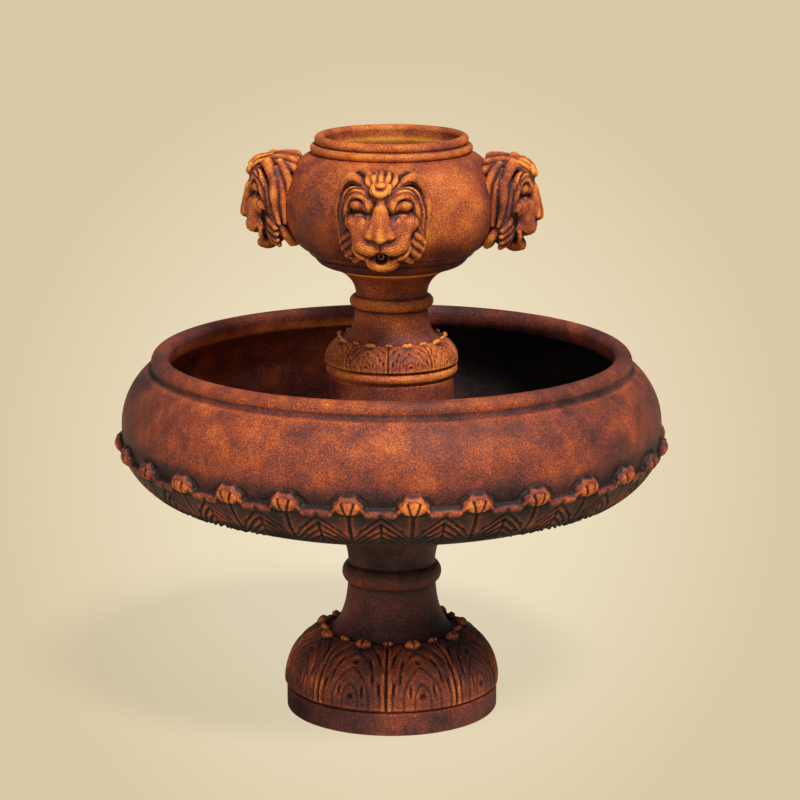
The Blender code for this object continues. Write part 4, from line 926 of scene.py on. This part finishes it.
PATINA = [
    (0.00, (0.006, 0.004, 0.005)),
    (0.22, (0.046, 0.021, 0.023)),
    (0.40, (0.130, 0.038, 0.034)),
    (0.55, (0.28, 0.057, 0.024)),
    (0.70, (0.52, 0.125, 0.036)),
    (0.85, (0.74, 0.235, 0.036)),
    (1.00, (0.84, 0.37, 0.07)),
]
DIRT = (0.060, 0.043, 0.032)


def patina_stone(name):
    """Cast stone stained from plum to rust, gold on its raised parts and grey dirt in its hollows. Its level
    also carries the painted shade and highlights held in the tone and relief.
    """
    finish = Finish(name)
    broad = finish.noise(7, 4, 0.6)
    cloud = finish.noise(24, 6, 0.65)
    speck = finish.noise(330, 3, 0.75)
    grain = finish.noise(900, 2, 0.6)
    raised = finish.attribute("raised")
    # Lighter on ridges and darker in hollows and corners: partly wear, partly painted highlight and painted
    # shade
    wear_and_painted_shading = finish.range(raised, -1.8, 1.8, -0.42, 0.26)
    patches = finish.total((broad, 0.85), (cloud, 0.40), (speck, 1.30), (grain, 0.50))
    level = finish.total(-1.49, finish.attribute("tone"), wear_and_painted_shading, patches)
    color = finish.ramp(level, PATINA)
    dirt = finish.math("MULTIPLY", finish.range(raised, -0.6, -2.4), finish.range(cloud, 0.35, 0.6, 0.1, 0.6))
    color = finish.mix(dirt, color, DIRT)
    finish.link(color, finish.shader.inputs["Base Color"])
    finish.link(finish.range(speck, 0.3, 0.7, 0.45, 0.75), finish.shader.inputs["Roughness"])
    finish.shader.inputs["Specular IOR Level"].default_value = 0.2
    finish.bump(finish.total((speck, 0.7), (grain, 0.35), (cloud, 1.2)), 0.6, 0.0012)
    return finish.material


def worn_metal(name, color, dark, roughness):
    finish = Finish(name, roughness, 1.0)
    stain_and_painted_shadow = finish.noise(60, 5, 0.6)
    finish.link(finish.mix(finish.range(stain_and_painted_shadow, 0.42, 0.6), color, dark), finish.shader.inputs["Base Color"])
    finish.link(finish.range(stain_and_painted_shadow, 0.3, 0.7, roughness, roughness + 0.3), finish.shader.inputs["Roughness"])
    finish.bump(finish.noise(500, 3), 0.2, 0.0004)
    return finish.material


def moulded(name, color, fleck, roughness, scale=900, depth=0.0003):
    """Moulded plastic, rubber or fired clay with a fine surface and slight marks."""
    finish = Finish(name, roughness)
    marks = finish.noise(45, 4, 0.6)
    finish.link(finish.mix(finish.range(marks, 0.4, 0.7), color, fleck), finish.shader.inputs["Base Color"])
    wear_and_painted_shading = finish.range(marks, 0.3, 0.7, roughness - 0.06, roughness + 0.1)
    finish.link(wear_and_painted_shading, finish.shader.inputs["Roughness"])
    finish.bump(finish.noise(scale, 2), 0.25, depth)
    return finish.material


def dress_frame():
    """Procedural finishes for the nodes that show as they are."""
    finishes = {
        "pump_plastic": moulded("pump_plastic_fine", (0.012, 0.012, 0.014), (0.03, 0.03, 0.032), 0.42),
        "soft_rubber": moulded("rubber_fine", (0.02, 0.02, 0.02), (0.045, 0.042, 0.04), 0.75),
        "vinyl_hose": moulded("vinyl_fine", (0.42, 0.47, 0.44), (0.30, 0.34, 0.28), 0.25),
        "rotor_magnet": moulded("magnet_fine", (0.05, 0.05, 0.055), (0.09, 0.085, 0.085), 0.5),
        "ceramic": moulded("ceramic_fine", (0.75, 0.73, 0.69), (0.66, 0.63, 0.58), 0.2),
        "brass": worn_metal("brass_worn", (0.62, 0.43, 0.16), (0.30, 0.20, 0.09), 0.3),
        "clamp_steel": worn_metal("steel_worn", (0.62, 0.61, 0.60), (0.42, 0.40, 0.38), 0.25),
    }
    slots = {
        "pump_plastic": ["pump_body", "pump_volute_cover", "pump_strainer", "pump_impeller"],
        "soft_rubber": ["pump_cable_gland", "urn_fitting_washer", "drain_stopper"],
        "vinyl_hose": ["supply_hose"],
        "rotor_magnet": ["pump_rotor_magnet"],
        "ceramic": ["pump_shaft", "pump_bush_front", "pump_bush_rear"],
        "brass": ["urn_fitting", "urn_fitting_nut"],
        "clamp_steel": ["hose_clamp_lower", "hose_clamp_upper"],
    }
    slots["pump_plastic"] += ["pump_outlet_adapter", "flow_control_dial"]
    slots["soft_rubber"] += [f"pump_foot_{i}" for i in (1, 2, 3, 4)]
    for slot, nodes in slots.items():
        for node in nodes:
            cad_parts[node].data.materials[0] = finishes[slot]


def settle(item, nodes, slot, material):
    """Puts a made piece in place of its nodes, with its finish."""
    item.data.materials.clear()
    item.data.materials.append(material)
    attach(item, FOUNTAIN)
    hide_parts(*nodes)


# Studio
CAMERA_DISTANCE = 6.6729
CAMERA_HEIGHT = 2.2504
CAMERA_PITCH = 0.2267
CAMERA_TURN = math.radians(4.2)
CAMERA_SIDE = 0.0186
CAMERA_LENS = 137.43
AMBIENT = 0.22
SHADOWLESS_SHARE = 0.84
GLOW_SIZE = (0.135, 0.150)
GLOW_FALL = 0.262
PAPER = [
    (0.00, (0.87, 0.765, 0.575)),
    (0.50, (0.81, 0.705, 0.505)),
    (1.00, (0.69, 0.575, 0.378)),
]


def make_camera():
    camera = bpy.data.objects.new("camera", bpy.data.cameras.new("camera"))
    bpy.context.scene.collection.objects.link(camera)
    camera.data.lens = CAMERA_LENS
    camera.data.sensor_width = 36
    across = Vector((math.cos(CAMERA_TURN), math.sin(CAMERA_TURN), 0))
    back = Vector((math.sin(CAMERA_TURN), -math.cos(CAMERA_TURN), 0))
    camera.location = back * CAMERA_DISTANCE + across * CAMERA_SIDE + Vector((0, 0, CAMERA_HEIGHT))
    camera.rotation_euler = (math.pi / 2 - CAMERA_PITCH, 0, CAMERA_TURN)
    camera.data.clip_end = 200
    bpy.context.scene.camera = camera


def sun_light(name, source, spread_deg, strength, color):
    """Even, soft light from the direction of its source."""
    light = bpy.data.lights.new(name, "SUN")
    light.angle = math.radians(spread_deg)
    light.energy = strength
    light.color = color
    item = bpy.data.objects.new(name, light)
    item.rotation_euler = Vector(source).to_track_quat("Z", "Y").to_euler()
    bpy.context.scene.collection.objects.link(item)


def make_studio():
    sun_light("key", (0.8, -1.4, 2.3), 14, 3.6, (1.0, 0.95, 0.88))
    sun_light("fill", (-0.5, -1.2, 0.5), 40, 0.60, (1.0, 0.93, 0.88))

    world = bpy.data.worlds.new("world")
    bpy.context.scene.world = world
    world.use_nodes = True
    tree = world.node_tree
    tree.nodes.clear()
    ambient = tree.nodes.new("ShaderNodeBackground")
    ambient.inputs["Color"].default_value = (0.80, 0.74, 0.66, 1)
    ambient.inputs["Strength"].default_value = AMBIENT
    seen = tree.nodes.new("ShaderNodeBackground")
    seen.inputs["Color"].default_value = (*PAPER[-1][1], 1)
    path = tree.nodes.new("ShaderNodeLightPath")
    mix = tree.nodes.new("ShaderNodeMixShader")
    output = tree.nodes.new("ShaderNodeOutputWorld")
    tree.links.new(path.outputs["Is Camera Ray"], mix.inputs["Fac"])
    tree.links.new(ambient.outputs[0], mix.inputs[1])
    tree.links.new(seen.outputs[0], mix.inputs[2])
    tree.links.new(mix.outputs[0], output.inputs["Surface"])

    make_floor()


def paper_color(finish):
    """Floor colour with a painted glow round the object, darkening towards the picture's edges."""
    turned_place = finish.tree.nodes.new("ShaderNodeMapping")
    turned_place.inputs["Rotation"].default_value = (0, 0, -CAMERA_TURN)
    finish.tree.links.new(finish.place, turned_place.inputs["Vector"])
    split = finish.tree.nodes.new("ShaderNodeSeparateXYZ")
    finish.tree.links.new(turned_place.outputs["Vector"], split.inputs["Vector"])
    away = finish.math("MAXIMUM", finish.math("ADD", split.outputs["Y"], CAMERA_DISTANCE), 0.5)
    across = finish.math("DIVIDE", split.outputs["X"], away)
    fall = finish.math("DIVIDE", CAMERA_HEIGHT, away)
    offset_x = finish.math("DIVIDE", across, GLOW_SIZE[0])
    offset_y = finish.math("DIVIDE", finish.math("SUBTRACT", fall, GLOW_FALL), GLOW_SIZE[1])
    squares = finish.math("ADD", finish.math("POWER", offset_x, 2.0), finish.math("POWER", offset_y, 2.0))
    return finish.ramp(finish.math("SQRT", squares), PAPER)


def make_floor():
    """Pale floor disc. What the camera sees is mostly its own colour, with the object's soft shadow."""
    reach = 30.0
    angles = 2 * np.pi * np.arange(96) / 96
    radii = [0.0001, 1, 2, 4, 8, 16, reach]
    ring = np.stack([np.sin(angles), -np.cos(angles), 0 * angles], 1)
    points = np.concatenate([radius * ring for radius in radii])
    rows = [np.arange(96) + 96 * i for i in range(len(radii))]
    bands = [np.stack([b, np.roll(b, -1), np.roll(a, -1), a], 1) for a, b in zip(rows, rows[1:])]
    faces = np.concatenate(bands)
    floor = mesh_object("floor", points - (0, 0, 0.0005), [faces], {})
    finish = Finish("floor_paper", 0.9)
    color = paper_color(finish)
    finish.link(color, finish.shader.inputs["Base Color"])
    seen = finish.tree.nodes.new("ShaderNodeEmission")
    finish.link(color, seen.inputs["Color"])
    path = finish.tree.nodes.new("ShaderNodeLightPath")
    share = finish.math("MULTIPLY", path.outputs["Is Camera Ray"], SHADOWLESS_SHARE)
    mix = finish.tree.nodes.new("ShaderNodeMixShader")
    finish.tree.links.new(share, mix.inputs["Fac"])
    finish.tree.links.new(finish.shader.outputs[0], mix.inputs[1])
    finish.tree.links.new(seen.outputs[0], mix.inputs[2])
    finish.tree.links.new(mix.outputs[0], finish.tree.nodes["Material Output"].inputs["Surface"])
    floor.data.materials.append(finish.material)


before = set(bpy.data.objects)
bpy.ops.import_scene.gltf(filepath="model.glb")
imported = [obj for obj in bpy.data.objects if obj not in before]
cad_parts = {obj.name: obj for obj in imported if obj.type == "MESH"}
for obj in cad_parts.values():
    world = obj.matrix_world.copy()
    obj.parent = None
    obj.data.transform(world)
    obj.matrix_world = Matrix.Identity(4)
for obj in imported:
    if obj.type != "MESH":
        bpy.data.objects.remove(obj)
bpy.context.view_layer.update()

stone = patina_stone("patina_stone")
copper = worn_metal("copper_worn", (0.55, 0.26, 0.14), (0.16, 0.08, 0.05), 0.35)
castings = [
    (*make_lower_pedestal(), "dark_stone"),
    (*make_basin(), "rust_stone"),
    (*make_riser(), "dark_stone"),
    (*make_upper_pedestal(), "rust_stone"),
    (*make_urn(), "rust_stone"),
]
for item, nodes, slot in castings:
    settle(item, nodes, slot, stone)
for item, nodes in make_heads():
    settle(item, nodes, "gold_stone", stone)
for item, nodes in make_tubes():
    settle(item, nodes, "copper", copper)
dress_frame()
make_camera()
make_studio()

scene = bpy.context.scene
scene.view_settings.view_transform = "Standard"
